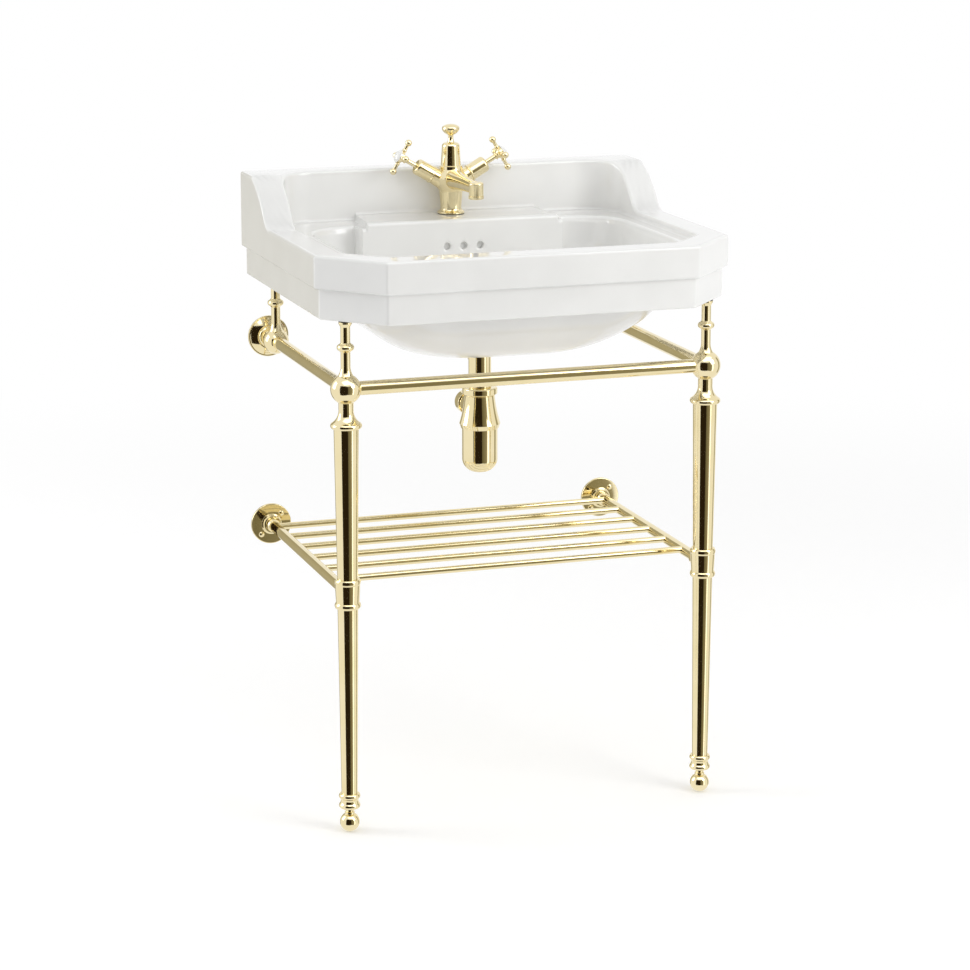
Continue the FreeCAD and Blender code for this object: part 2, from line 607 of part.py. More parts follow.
def basin():
    body = new_body("basin")
    plan = cut_corner_plan("0")
    sketch = draw(new_sketch(body, "rim_plan", "XY_Plane", RIM_BOTTOM), plan[0], plan[1:])
    pad(body, sketch, "rim_height")

    outer = [(f"basin_width / 2", f"({WALL} - wing_foot_setback)"), ("basin_width / 2", WALL)]
    moves = upstand_plan(f"({WALL} - wing_foot_setback)")[1:] + outer
    moves.append(("-basin_width / 2", WALL))
    moves.append(("-basin_width / 2", f"({WALL} - wing_foot_setback)"))
    sketch = new_sketch(body, "upstand_plan", "XY_Plane", "rim_top")
    pad(body, draw(sketch, upstand_plan(f"({WALL} - wing_foot_setback)")[0], moves), "upstand_height")

    top = f"({WALL} - wing_top_setback)"
    foot = f"({WALL} - wing_foot_setback)"
    fall = "(wing_foot_setback - wing_top_setback)"
    # The wing falls in two arcs; their points are shares of its height and of its run.
    sketch = new_sketch(body, "wing_slope", "YZ_Plane")
    moves = [
        (f"({top} - {fall} * 0.43)", f"({UPSTAND_TOP} - upstand_height * 0.38)",
         f"({top} - {fall} * 0.7)", f"(rim_top + upstand_height * 0.2)"),
        (f"({top} - {fall} * 0.82)", f"(rim_top + upstand_height * 0.06)", foot, "rim_top"),
        (f"({foot} - 1)", "rim_top"),
        (f"({foot} - 1)", f"({UPSTAND_TOP} + 1)"),
        (top, f"({UPSTAND_TOP} + 1)"),
    ]
    draw(sketch, (top, UPSTAND_TOP), moves)
    pocket(body, sketch, "basin_width + 2", both=True)

    front = cut_corner_plan("lip_width")
    rear = front[1][1]
    moves = upstand_plan(rear)[1:] + [front[3], front[2]]
    sketch = new_sketch(body, "deck_plan", "XY_Plane", "rim_top")
    pocket(body, draw(sketch, upstand_plan(rear)[0], moves), "deck_drop")

    plan = cut_corner_plan("apron_inset")
    sketch = draw(new_sketch(body, "apron_plan", "XY_Plane", APRON_BOTTOM), plan[0], plan[1:])
    pad(body, sketch, "apron_height")
    underside_hollow(body)
    bowl_loft(body, "bowl_outside", "wall_thick", f"({DECK} - 1)", "AdditiveLoft")
    bowl_loft(body, "bowl_inside", "0", DECK, "SubtractiveLoft")
    tap_platform(body)
    waste_boss(body)
    basin_holes(body)
    return body


def underside_hollow(body):
    """The open underside, with solid corners left over the legs and the rear stems."""
    side = "(basin_width / 2 - apron_inset - wall_thick)"
    front = f"({WALL} - basin_depth + apron_inset + wall_thick)"
    rear = f"({WALL} - wall_thick)"
    sketch = new_sketch(body, "underside_plan", "XY_Plane", APRON_BOTTOM)
    moves = [
        (f"-{side}", f"({front} + leg_pad)"),
        (f"-({side} - leg_pad)", front),
        (f"({side} - leg_pad)", front),
        (side, f"({front} + leg_pad)"),
        (side, f"({rear} - rear_pad)"),
        (f"({side} - rear_pad)", rear),
        (f"-({side} - rear_pad)", rear),
    ]
    draw(sketch, (f"-{side}", f"({rear} - rear_pad)"), moves)
    pocket(body, sketch, f"({DECK_UNDERSIDE} - {APRON_BOTTOM})", reverse=True)


def tap_platform(body):
    """The block that carries the tap, hollow behind, and the raised platform on it."""
    front = f"({WALL} - block_setback)"
    block_back = f"({WALL} - bowl_rear + wall_thick)"
    low = f"({BOWL_FLOOR} + block_foot)"
    sketch = new_sketch(body, "block_plan", "XY_Plane", low)
    draw(sketch, ("-block_half", front),
         [("block_half", front), ("block_half", block_back), ("-block_half", block_back)])
    pad(body, sketch, f"({DECK} - {low})")
    sketch = new_sketch(body, "block_hollow", "XY_Plane", low)
    inner = "(block_half - wall_thick)"
    draw(sketch, (f"-{inner}", f"({front} + wall_thick)"),
         [(inner, f"({front} + wall_thick)"), (inner, f"({WALL} - wall_thick)"),
          (f"-{inner}", f"({WALL} - wall_thick)")])
    pocket(body, sketch, f"({DECK_UNDERSIDE} - {low})", reverse=True)
    back = f"({WALL} - upstand_thick)"
    sketch = new_sketch(body, "platform_plan", "XY_Plane", f"({DECK} - 1)")
    draw(sketch, ("-shelf_front_half", front),
         [("shelf_front_half", front), ("shelf_back_half", back), ("-shelf_back_half", back)])
    pad(body, sketch, "shelf_rise + 1")


def waste_boss(body):
    sketch = new_sketch(body, "boss_profile", "XZ_Plane", f"-{WASTE_Y}")
    draw(sketch, ("0", BOSS_BOTTOM),
         [("boss_foot_radius", BOSS_BOTTOM), ("boss_top_radius", WASTE_SEAT),
          ("boss_top_radius", f"{BOWL_FLOOR} - 1"), ("0", f"{BOWL_FLOOR} - 1")])
    revolve(body, sketch)


def basin_holes(body):
    bore(body, "waste_hole", "waste_hole_radius", f"{BOWL_FLOOR} - {BOSS_BOTTOM} + 2",
         y=WASTE_Y, z=f"{BOSS_BOTTOM} - 1")
    bore(body, "tap_hole", "tap_hole_radius", "deck_thick + shelf_rise + 2",
         y=TAP_Y, z=f"{DECK_UNDERSIDE} - 1")
    for count in (-1, 0, 1):
        bore(body, f"overflow_{count + 1}", "overflow_radius", "overflow_deep + 1",
             x=f"{count} * overflow_pitch", y=f"{WALL} - block_setback - 1", z="overflow_height",
             **TO_WALL)
    for side, name in ((-1, "left"), (1, "right")):
        bore(body, f"bolt_hole_{name}", "basin_bolt_radius", "wall_thick + 2",
             x=f"{side} * basin_bolt_spacing / 2", y=f"{WALL} + 1", z="basin_bolt_height", **TO_FRONT)


# The mixer. Its pieces on a valve's axis are drawn from the point where the axes meet.

def mixer_body():
    body = new_body("mixer_body", y=TAP_Y, z=MIXER_FOOT)
    sketch = new_sketch(body, "mixer_profile", "XZ_Plane")
    moves = [
        ("shank_radius", "-shank_long"),
        ("shank_radius", "0"),
        ("mixer_foot_radius", "0"),
        ("mixer_foot_radius", "mixer_foot_thick * 0.6"),
        ("mixer_foot_radius - 1.5", "mixer_foot_thick"),
        ("column_low_radius + 1.2", "mixer_foot_thick + 1.6", "column_low_radius", "mixer_foot_thick + 5"),
        ("column_low_radius + (column_top_radius - column_low_radius) * 0.35", "column_height * 0.6",
         "column_top_radius", "column_height"),
        ("column_top_radius", "valve_centre + 10"),
        ("tower_low_radius + 0.8", "tower_foot - 6", "tower_low_radius", "tower_foot"),
        ("tower_top_radius", "tower_top - tower_round"),
        (f"tower_top_radius - tower_round * {ROUND}", f"tower_top - tower_round * {ROUND}",
         "tower_top_radius - tower_round", "tower_top"),
        ("lift_rod_radius + lift_fit", "tower_top"),
    ]
    draw(sketch, ("lift_rod_radius + lift_fit", "-shank_long"), moves)
    revolve(body, sketch)
    for side, sign in (("hot", "-1"), ("cold", "1")):
        turn = f"{sign} * (90 - valve_tilt)"
        sizes = {"Radius1": "arm_radius + 2.5", "Radius2": "arm_radius", "Height": "arm_long"}
        primitive(body, "AdditiveCone", f"arm_{side}", sizes, z="valve_centre", axis=Y_AXIS, turn=turn)
    rod(body, "spout_bead", "spout_collar_radius", "column_top_radius + 3", z="spout_axis", **TO_FRONT)
    rod(body, "spout_tube", "spout_radius", "spout_reach", z="spout_axis", **TO_FRONT)
    rod(body, "spout_end", "outlet_radius", "outlet_drop", y="-spout_reach",
        z="spout_axis - outlet_drop")
    ball(body, "spout_bend", "outlet_radius", y="-spout_reach", z="spout_axis")
    bore(body, "spout_bore", "outlet_radius - 3", "outlet_drop", y="-spout_reach",
         z="spout_axis - outlet_drop")
    bore(body, "rod_bore", "lift_rod_radius + lift_fit", "shank_long + tower_top", z="-shank_long")
    seat = "(cartridge_long - (cover_long - cover_end_thick))"
    for side, sign in (("hot", "-1"), ("cold", "1")):
        turn = f"{sign} * (90 - valve_tilt)"
        reach = f"(arm_long - {seat})"
        bore(body, f"cartridge_bore_{side}", "cartridge_radius", f"{seat} + 1",
             x=f"{sign} * {reach} * cos(valve_tilt)", z=f"valve_centre + {reach} * sin(valve_tilt)",
             axis=Y_AXIS, turn=turn)
        bore(body, f"tail_bore_{side}", "tail_radius", "tail_seat",
             x=f"{sign} * tail_offset", z="-shank_long")
    return body


def on_valve(side):
    """Placement of a piece drawn on a valve's axis."""
    sign = {"hot": "-1", "cold": "1"}[side]
    return {"y": TAP_Y, "z": f"{MIXER_FOOT} + valve_centre", "axis": Y_AXIS,
            "turn": f"{sign} * (90 - valve_tilt)"}


COVER_END = "(arm_long + cover_long)"
CARTRIDGE_END = "(arm_long + cover_long - cover_end_thick)"
HUB_FOOT = "(handle_reach - hub_long + 3.5)"


def valve_cover(side):
    inner = "(spindle_radius + spindle_fit)"
    moves = [
        ("cover_bead_radius - 1", "arm_long"),
        ("cover_bead_radius", "arm_long + cover_bead_width / 2",
         "cover_bead_radius - 1", "arm_long + cover_bead_width"),
        ("cover_radius", "arm_long + cover_bead_width"),
        ("cover_radius", f"{COVER_END} - cover_round"),
        (f"cover_radius - cover_round * {ROUND}", f"{COVER_END} - cover_round * {ROUND}",
         "cover_radius - cover_round", COVER_END),
        (inner, COVER_END),
        (inner, CARTRIDGE_END),
        ("cartridge_radius", CARTRIDGE_END),
    ]
    return turned(f"valve_cover_{side}", ("cartridge_radius", "arm_long"), moves, **on_valve(side))


def cartridge(side):
    low = f"({CARTRIDGE_END} - cartridge_long)"
    inner = "(spindle_radius + spindle_fit)"
    deep = f"({CARTRIDGE_END} - cartridge_long / 2)"
    moves = [("cartridge_radius", low), ("cartridge_radius", CARTRIDGE_END),
             (inner, CARTRIDGE_END), (inner, deep), ("0", deep)]
    return turned(f"ceramic_cartridge_{side}", ("0", low), moves, **on_valve(side))


def spindle(side):
    low = f"({CARTRIDGE_END} - cartridge_long / 2 + 0.5)"
    high = "(handle_reach - 3)"
    moves = [("spindle_radius", low), ("spindle_radius", high), ("0", high)]
    return turned(f"spindle_{side}", ("0", low), moves, **on_valve(side))


def cross_handle(side):
    body = new_body(f"cross_handle_{side}", **on_valve(side))
    top = f"({HUB_FOOT} + hub_long)"
    sketch = new_sketch(body, f"hub_profile_{side}", "XZ_Plane")
    moves = [
        ("hub_neck_radius - 0.8", HUB_FOOT),
        ("hub_neck_radius + 0.6", f"{HUB_FOOT} + 1.3", "hub_neck_radius - 0.6", f"{HUB_FOOT} + 2.6"),
        ("hub_neck_radius + 0.6", f"{HUB_FOOT} + 5", "hub_radius", f"{top} - 5"),
        ("hub_radius", top),
        ("0", top),
        ("0", "handle_reach - 3"),
        ("spindle_radius", "handle_reach - 3"),
    ]
    draw(sketch, ("spindle_radius", HUB_FOOT), moves)
    revolve(body, sketch)
    for plane in ("XZ_Plane", "YZ_Plane"):
        cross_bar(body, f"bar_{side}_{plane[0].lower()}", plane)
    return body


def cross_bar(body, name, plane):
    """Bar through the hub with a bead and a ball at each end, turned about its own axis."""
    ball_end = "(handle_arm - sqrt(handle_ball_radius^2 - handle_arm_radius^2))"
    bead = "(hub_radius + handle_bead_out)"
    bead_half = "sqrt(handle_bead_radius^2 - handle_arm_radius^2)"
    tip = "(handle_arm + handle_ball_radius)"
    sketch = new_sketch(body, name, plane)
    sketch.setExpression("AttachmentOffset.Base.y", bind("handle_reach"))
    moves = [
        ("-handle_arm", "handle_ball_radius", f"-{ball_end}", "handle_arm_radius"),
        (f"-({bead} + {bead_half})", "handle_arm_radius"),
        (f"-{bead}", "handle_bead_radius", f"-({bead} - {bead_half})", "handle_arm_radius"),
        (f"{bead} - {bead_half}", "handle_arm_radius"),
        (bead, "handle_bead_radius", f"{bead} + {bead_half}", "handle_arm_radius"),
        (ball_end, "handle_arm_radius"),
        ("handle_arm", "handle_ball_radius", tip, "0"),
    ]
    draw(sketch, (f"-{tip}", "0"), moves)
    revolve(body, sketch, axis="H_Axis")


def index_button(side):
    low = f"({HUB_FOOT} + hub_long)"
    moves = [
        ("index_radius", low),
        ("index_radius", f"{low} + 1"),
        dome("index_radius", f"({low} + 1)", f"({low} + index_rise)"),
    ]
    return turned(f"index_button_{side}", ("0", low), moves, **on_valve(side))


def aerator():
    top = "(spout_axis - outlet_drop)"
    start = ("outlet_radius - 4", f"{top} - aerator_height")
    moves = [("aerator_radius - 0.8", f"{top} - aerator_height"),
             ("aerator_radius", f"{top} - aerator_height + 0.8"), ("aerator_radius", top),
             ("0", top), ("0", f"{top} - 1.5"), ("outlet_radius - 4", f"{top} - 1.5")]
    return turned("spout_aerator", start, moves, y=f"{TAP_Y} - spout_reach", z=MIXER_FOOT)


def hex_nut(label, corner, hole, height, **where):
    """A nut whose six flats are drawn from its radius over the corners."""
    body = new_body(label, **where)
    sketch = new_sketch(body, label + "_plan", "XY_Plane")
    corners = []
    for count in range(NUT_SIDES):
        angle = 360 / NUT_SIDES * count
        corners.append((f"{corner} * cos({angle})", f"{corner} * sin({angle})"))
    draw(sketch, corners[0], corners[1:])
    draw_circle(sketch, "0", "0", hole)
    pad(body, sketch, height)
    return body


def mixer_fixings():
    tails = []
    washer("mixer_gasket", "shank_radius", "mixer_foot_radius - 0.5", "gasket_thick",
           y=TAP_Y, z=SHELF_TOP)
    washer("mixer_washer", "shank_radius", "mixer_nut_radius + 1", "washer_thick",
           y=TAP_Y, z=f"{DECK_UNDERSIDE} - washer_thick")
    hex_nut("mixer_back_nut", "mixer_nut_radius", "shank_radius", "mixer_nut_height",
            y=TAP_Y, z=f"{DECK_UNDERSIDE} - washer_thick - mixer_nut_height")
    for side, sign in (("hot", "-1"), ("cold", "1")):
        tail = washer(f"inlet_tail_{side}", "tail_radius - tail_wall", "tail_radius",
                      "tail_long + tail_seat", x=f"{sign} * tail_offset", y=TAP_Y,
                      z=f"{MIXER_FOOT} - shank_long - tail_long")
        tails.append(tail)
    group("inlet_tails", tails)


# The pop-up waste.

def lift_knob():
    moves = [
        ("knob_neck_radius + 1.9", "0"),
        ("knob_neck_radius", "knob_height * 0.3", "knob_neck_radius + 0.4", "knob_height * 0.5"),
        ("knob_radius * 0.78", "knob_height * 0.62", "knob_radius", "knob_height * 0.78"),
        ("knob_radius", "knob_height * 0.83", "knob_radius * 0.94", "knob_height * 0.87"),
        dome("(knob_radius * 0.94)", "(knob_height * 0.87)", "knob_height"),
        ("0", "knob_height * 0.45"),
        ("lift_rod_radius", "knob_height * 0.45"),
    ]
    return turned("lift_knob", ("lift_rod_radius", "0"), moves, y=TAP_Y, z=KNOB_FOOT)


def lift_rod():
    body = new_body("lift_rod", y=TAP_Y)
    top = f"({KNOB_FOOT} + knob_height * 0.45)"
    shoulder = f"({CLEVIS_FOOT} + clevis_height)"
    sketch = new_sketch(body, "lift_rod_profile", "XZ_Plane")
    draw(sketch, ("0", CLEVIS_FOOT),
         [("clevis_radius", CLEVIS_FOOT), ("clevis_radius", f"{shoulder} - 1"),
          ("clevis_radius - 1", shoulder), ("lift_rod_radius", shoulder),
          ("lift_rod_radius", top), ("0", top)])
    revolve(body, sketch)
    sketch = new_sketch(body, "clevis_slot", "YZ_Plane")
    half = "(strap_thick / 2)"
    draw(sketch, (f"-{half}", f"{CLEVIS_FOOT} - 1"),
         [(half, f"{CLEVIS_FOOT} - 1"), (half, STRAP_TOP), (f"-{half}", STRAP_TOP)])
    pocket(body, sketch, "clevis_radius * 2 + 2", both=True)
    bore(body, "clevis_hole", "strap_screw_radius", "clevis_radius * 2 + 2",
         y="clevis_radius + 1", z=f"{STRAP_TOP} - clevis_height / 4", **TO_FRONT)
    return body


def lift_strap():
    body = new_body("lift_strap", y=f"{TAP_Y} + strap_thick / 2")
    sketch = new_sketch(body, "strap_outline", "XZ_Plane")
    half = "(strap_width / 2)"
    low = f"({STRAP_HOLE} - strap_below)"
    shoulder = f"({low} + {half})"
    draw(sketch, (f"-{half}", shoulder),
         [("0", low, half, shoulder), (half, STRAP_TOP), (f"-{half}", STRAP_TOP)])
    draw_circle(sketch, "0", STRAP_HOLE, "strap_hole_radius")
    draw_circle(sketch, "0", f"{STRAP_HOLE} + strap_above * 0.3", "strap_hole_radius * 0.75")
    draw_circle(sketch, "0", f"{STRAP_HOLE} + strap_above * 0.52", "strap_hole_radius * 0.75")
    draw_circle(sketch, "0", f"{STRAP_TOP} - clevis_height / 4", "strap_screw_radius")
    pad(body, sketch, "strap_thick")
    return body


def strap_screw():
    shank = "(clevis_radius * 2)"
    head = "(strap_screw_radius + 2.5)"
    moves = [("strap_screw_radius", "0"), ("strap_screw_radius", shank), (head, shank),
             (head, f"{shank} + 3"), ("0", f"{shank} + 3")]
    return turned("strap_screw", ("0", "0"), moves, y=f"{TAP_Y} + clevis_radius",
                  z=f"{STRAP_TOP} - clevis_height / 4", **TO_FRONT)


def pivot_rod():
    body = new_body("pivot_rod", y=PIVOT_Y, z=PIVOT_HEIGHT, axis=X_AXIS, turn="pivot_tilt - 90")
    ball(body, "pivot_ball", "pivot_ball_radius")
    front = f"({PIVOT_REACH} + pivot_rod_radius)"
    rod(body, "pivot_bar", "pivot_rod_radius",
        f"{front} + {STRAP_REACH} / cos(pivot_tilt) + pivot_rod_past", z=f"-{front}")
    return body


def pivot_nut():
    """Holds the pivot ball in the port; its mouth is wide enough for the rod's swing."""
    inner = "(pivot_ball_radius + pivot_fit)"
    mouth = "(pivot_ball_radius - 0.6)"
    start = ("pivot_port_radius", "-7")
    moves = [("pivot_nut_radius", "-7"), ("pivot_nut_radius", "5"), ("pivot_nut_radius - 1", "6"),
             (mouth, "6"), (mouth, "2.7"), (inner, "2.7"), (inner, "2"), ("pivot_port_radius", "2")]
    return turned("pivot_nut", start, moves, y=PIVOT_Y, z=PIVOT_HEIGHT, **TO_WALL)


def waste_body():
    """Flange and threaded tail of the waste, with the port for the pivot rod."""
    body = new_body("waste_body", y=WASTE_Y)
    low = TAIL_FOOT
    seat = f"({BOWL_FLOOR} + waste_seal_thick)"
    top = f"({seat} + waste_flange_thick)"
    dish = "(plug_radius + 1)"
    sketch = new_sketch(body, "waste_profile", "XZ_Plane")
    moves = [
        ("waste_tube_radius", low),
        ("waste_tube_radius", seat),
        ("waste_flange_radius", seat),
        ("waste_flange_radius - 0.4", f"{top} - 1", "waste_flange_radius - 2", top),
        (dish, top),
        ("waste_bore_radius + 2", f"{top} - 2"),
        ("waste_bore_radius", f"{top} - 3.5"),
    ]
    draw(sketch, ("waste_bore_radius", low), moves)
    revolve(body, sketch)
    rod(body, "pivot_port", "pivot_port_radius", f"{PIVOT_REACH} + 2", z=PIVOT_HEIGHT, **TO_WALL)
    bore(body, "tail_clear", "waste_bore_radius", f"{seat} - {low}", z=low)
    bore(body, "port_bore", "pivot_ball_radius + pivot_fit", f"{PIVOT_REACH} + 3",
         z=PIVOT_HEIGHT, **TO_WALL)
    return body


def waste_fixings():
    seal = washer("waste_seal", "waste_tube_radius", "waste_flange_radius - 1",
                  "waste_seal_thick", y=WASTE_Y, z=BOWL_FLOOR)
    under = washer("boss_washer", "waste_tube_radius", "boss_foot_radius", "waste_washer_thick",
                   y=WASTE_Y, z=f"{BOSS_BOTTOM} - waste_washer_thick")
    group("waste_washers", [seal, under])
    low = f"({BOSS_BOTTOM} - waste_washer_thick - waste_nut_height)"
    start = ("waste_tube_radius", "0")
    moves = [("waste_nut_radius - 1.2", "0"), ("waste_nut_radius", "1.2"),
             ("waste_nut_radius", "waste_nut_height - 1.2"),
             ("waste_nut_radius - 1.2", "waste_nut_height"), ("waste_tube_radius", "waste_nut_height")]
    turned("waste_back_nut", start, moves, y=WASTE_Y, z=low)


def waste_plug():
    """Domed plug on a stem with four guide vanes; the stem stands on the pivot rod's tip."""
    body = new_body("waste_plug", y=WASTE_Y)
    seat = f"({BOWL_FLOOR} + waste_seal_thick + waste_flange_thick - 2)"
    under = f"({seat} + plug_open)"
    foot = f"({PIVOT_HEIGHT} - ({PIVOT_REACH} * tan(pivot_tilt)) + pivot_rod_radius / cos(pivot_tilt) + 0.3)"
    sketch = new_sketch(body, "plug_profile", "XZ_Plane")
    moves = [
        ("plug_stem_radius * sqrt(0.5)", f"{foot} + plug_stem_radius * {ROUND}",
         "plug_stem_radius", f"{foot} + plug_stem_radius"),
        ("plug_stem_radius", under),
        ("plug_radius - 3", under),
        ("plug_radius", f"{under} + 2"),
        dome("plug_radius", f"({under} + 2)", f"({under} + plug_thick)"),
    ]
    draw(sketch, ("0", foot), moves)
    revolve(body, sketch)
    vane_foot = f"{under} - vane_height - 2"
    for count in range(2):
        name = f"vane_{count + 1}"
        long = "(plug_guide_radius * 2)"
        sizes = {"Length": long, "Width": "vane_thick", "Height": "vane_height"}
        corner = {"x": "-plug_guide_radius", "y": "-vane_thick / 2"}
        if count:
            sizes = {"Length": "vane_thick", "Width": long, "Height": "vane_height"}
            corner = {"x": "-vane_thick / 2", "y": "-plug_guide_radius"}
        primitive(body, "AdditiveBox", name, sizes, z=vane_foot, **corner)
    return body


# The bottle trap.

def trap_inlet_nut():
    inner = "waste_tube_radius + rail_fit"
    lip = f"({TRAP_TOP} - trap_nut_lip)"
    moves = [
        ("trap_nut_radius - 1", TRAP_SHOULDER),
        ("trap_nut_radius", f"{TRAP_SHOULDER} + 1"),
        ("trap_nut_radius", f"{TRAP_TOP} - 2.5"),
        (f"trap_nut_radius - 2.5 * {ROUND}", f"{TRAP_TOP} - 2.5 * {ROUND}",
         "trap_nut_radius - 2.5", TRAP_TOP),
        (inner, TRAP_TOP),
        (inner, lip),
        ("trap_neck_radius", lip),
    ]
    return turned("trap_inlet_nut", ("trap_neck_radius", TRAP_SHOULDER), moves, y=WASTE_Y)


def trap_body():
    """Inlet neck, flared skirt and outlet, hollow inside; the cup screws in from below."""
    body = new_body("trap_body", y=WASTE_Y)
    ledge = f"({TAIL_FOOT} - dip_flange_thick)"
    throat = "(dip_radius + rail_fit)"
    tail = "(waste_tube_radius + rail_fit)"
    cup_top = f"({BODY_FOOT} + cup_neck_long)"
    flare = "(skirt_foot_radius - skirt_top_radius)"
    top = f"({TRAP_SHOULDER} - trap_shoulder)"
    sketch = new_sketch(body, "trap_body_profile", "XZ_Plane")
    moves = [
        ("skirt_foot_radius - skirt_lip / 3", BODY_FOOT),
        ("skirt_foot_radius", SKIRT_FOOT),
        (f"skirt_top_radius + {flare} * 0.36", f"{SKIRT_FOOT} + skirt_height * 0.5",
         "skirt_top_radius", top),
        ("trap_neck_radius", top),
        ("trap_neck_radius", TRAP_NECK),
        (tail, TRAP_NECK),
        (tail, ledge),
        (throat, ledge),
        (throat, f"{ledge} - trap_wall"),
        ("cup_neck_radius - 1", f"{cup_top} + 6"),
        ("cup_neck_radius", f"{cup_top} + 1"),
        ("cup_neck_radius", f"{BODY_FOOT} + ring_thick"),
        ("cup_radius - trap_wall / 4", f"{BODY_FOOT} + ring_thick"),
    ]
    draw(sketch, ("cup_radius - trap_wall / 4", BODY_FOOT), moves)
    revolve(body, sketch)
    rod(body, "outlet_spigot", "outlet_spigot_radius", "outlet_long - skirt_top_radius + trap_wall",
        y="skirt_top_radius - trap_wall", z=OUTLET_HEIGHT, **TO_WALL)
    bore(body, "outlet_bore", "outlet_bore_radius", "outlet_long + 1", z=OUTLET_HEIGHT, **TO_WALL)
    bore(body, "pipe_socket", "waste_pipe_radius", "waste_pipe_socket + 1",
         y="outlet_long - waste_pipe_socket", z=OUTLET_HEIGHT, **TO_WALL)
    return body


def trap_cup():
    inner = "(cup_radius - trap_wall)"
    neck_inner = "(cup_neck_radius - trap_wall)"
    top = f"({BODY_FOOT} + cup_neck_long)"
    floor = f"({CUP_BOTTOM} + trap_wall)"
    arc_in = "(cup_round - trap_wall)"
    start = ("0", CUP_BOTTOM)
    moves = [
        ("cup_radius - cup_round", CUP_BOTTOM),
        (f"cup_radius - cup_round * {ROUND}", f"{CUP_BOTTOM} + cup_round * {ROUND}",
         "cup_radius", f"{CUP_BOTTOM} + cup_round"),
        ("cup_radius", BODY_FOOT),
        ("cup_neck_radius", BODY_FOOT),
        ("cup_neck_radius", top),
        (neck_inner, top),
        (neck_inner, f"{BODY_FOOT} - trap_wall"),
        (inner, f"{BODY_FOOT} - trap_wall * 2"),
        (inner, f"{CUP_BOTTOM} + cup_round"),
        (f"{inner} - {arc_in} * {ROUND}", f"{floor} + {arc_in} * {ROUND}",
         f"cup_radius - cup_round", floor),
        ("0", floor),
    ]
    return turned("trap_cup", start, moves, y=WASTE_Y)


def trap_dip_tube():
    top = TAIL_FOOT
    ledge = f"({top} - dip_flange_thick)"
    inner = "(dip_radius - trap_wall)"
    moves = [("dip_radius", DIP_BOTTOM), ("dip_radius", ledge), ("waste_tube_radius", ledge),
             ("waste_tube_radius", top), (inner, top)]
    return turned("trap_dip_tube", (inner, DIP_BOTTOM), moves, y=WASTE_Y)


def trap_seals():
    inlet = washer("inlet_ring", "waste_tube_radius + rail_fit", "trap_neck_radius - rail_fit",
                   "ring_thick", y=WASTE_Y, z=TRAP_NECK)
    cup = washer("cup_ring", "cup_neck_radius + rail_fit", "cup_radius - trap_wall / 4 - rail_fit",
                 "ring_thick", y=WASTE_Y, z=BODY_FOOT)
    return group("trap_seals", [inlet, cup])


def trap_outlet_nut():
    """Domed nut on the outlet; a waste pipe passes through its mouth."""
    foot = "(outlet_long + outlet_nut_past - outlet_nut_long)"
    top = "(outlet_long + outlet_nut_past)"
    mouth = "(waste_pipe_radius + rail_fit)"
    moves = [
        ("outlet_nut_radius - 0.8", foot),
        ("outlet_nut_radius", f"{foot} + 0.8"),
        ("outlet_nut_radius", f"{top} - 6"),
        ("outlet_nut_radius - 0.7", f"{top} - 2.2", "waste_pipe_radius + 1.2", top),
        (mouth, top),
        (mouth, "outlet_long"),
        ("outlet_spigot_radius", "outlet_long"),
    ]
    return turned("trap_outlet_nut", ("outlet_spigot_radius", foot), moves,
                  y=WASTE_Y, z=OUTLET_HEIGHT, **TO_WALL)


# The washstand.

SIDES = (("left", "-1"), ("right", "1"))


def ball_height(ball_radius, cut_radius):
    """From a ball's centre to where a bar of that radius enters it."""
    return f"sqrt({ball_radius}^2 - {cut_radius}^2)"


def leg_ball(side, sign):
    """Collar, neck and ball in one casting, let into the leg tube."""
    body = new_body(f"leg_ball_{side}", x=f"{sign} * {LEG_HALF}", y=LEG_Y)
    plug = "leg_bore_radius - rail_fit"
    plug_foot = f"{COLLAR_FOOT} - leg_plug_long"
    collar_top = f"({COLLAR_FOOT} + collar_width)"
    under = f"({BALL_AXIS} - {ball_height('front_ball_radius', 'neck_radius')})"
    over = f"({BALL_AXIS} + {ball_height('front_ball_radius', '(stem_radius + rail_fit)')})"
    sketch = new_sketch(body, f"leg_ball_{side}_profile", "XZ_Plane")
    moves = [
        (plug, plug_foot),
        (plug, COLLAR_FOOT),
        ("collar_radius - 1.6", COLLAR_FOOT),
        ("collar_radius", COLLAR, "collar_radius - 1.6", collar_top),
        ("neck_radius + 3.2", f"{collar_top} + 6.5", "neck_radius", f"{under} - 9"),
        ("neck_radius", under),
        ("front_ball_radius", BALL_AXIS, "stem_radius + rail_fit", over),
        ("stem_radius + rail_fit", f"{over} - stem_seat"),
        ("0", f"{over} - stem_seat"),
    ]
    draw(sketch, ("0", plug_foot), moves)
    revolve(body, sketch)
    inward = {"axis": Y_AXIS, "turn": f"-90 * {sign}"}
    bore(body, f"front_rail_socket_{side}", "rail_radius + rail_fit", "front_ball_radius",
         x=f"-{sign} * {FRONT_RAIL_END}", z=BALL_AXIS, **inward)
    bore(body, f"side_rail_socket_{side}", "rail_radius + rail_fit", "front_ball_radius",
         y=FRONT_RAIL_END, z=BALL_AXIS, **TO_WALL)
    return body


def leg_upper(side, sign):
    foot = f"{SLEEVE_TOP} - {SLEEVE_SOCKET}"
    moves = [("leg_sleeve_radius", foot), ("leg_sleeve_radius", SLEEVE_TOP),
             ("leg_top_radius", COLLAR_FOOT), ("leg_bore_radius", COLLAR_FOOT)]
    return turned(f"leg_upper_{side}", ("leg_bore_radius", foot), moves,
                  x=f"{sign} * {LEG_HALF}", y=LEG_Y)


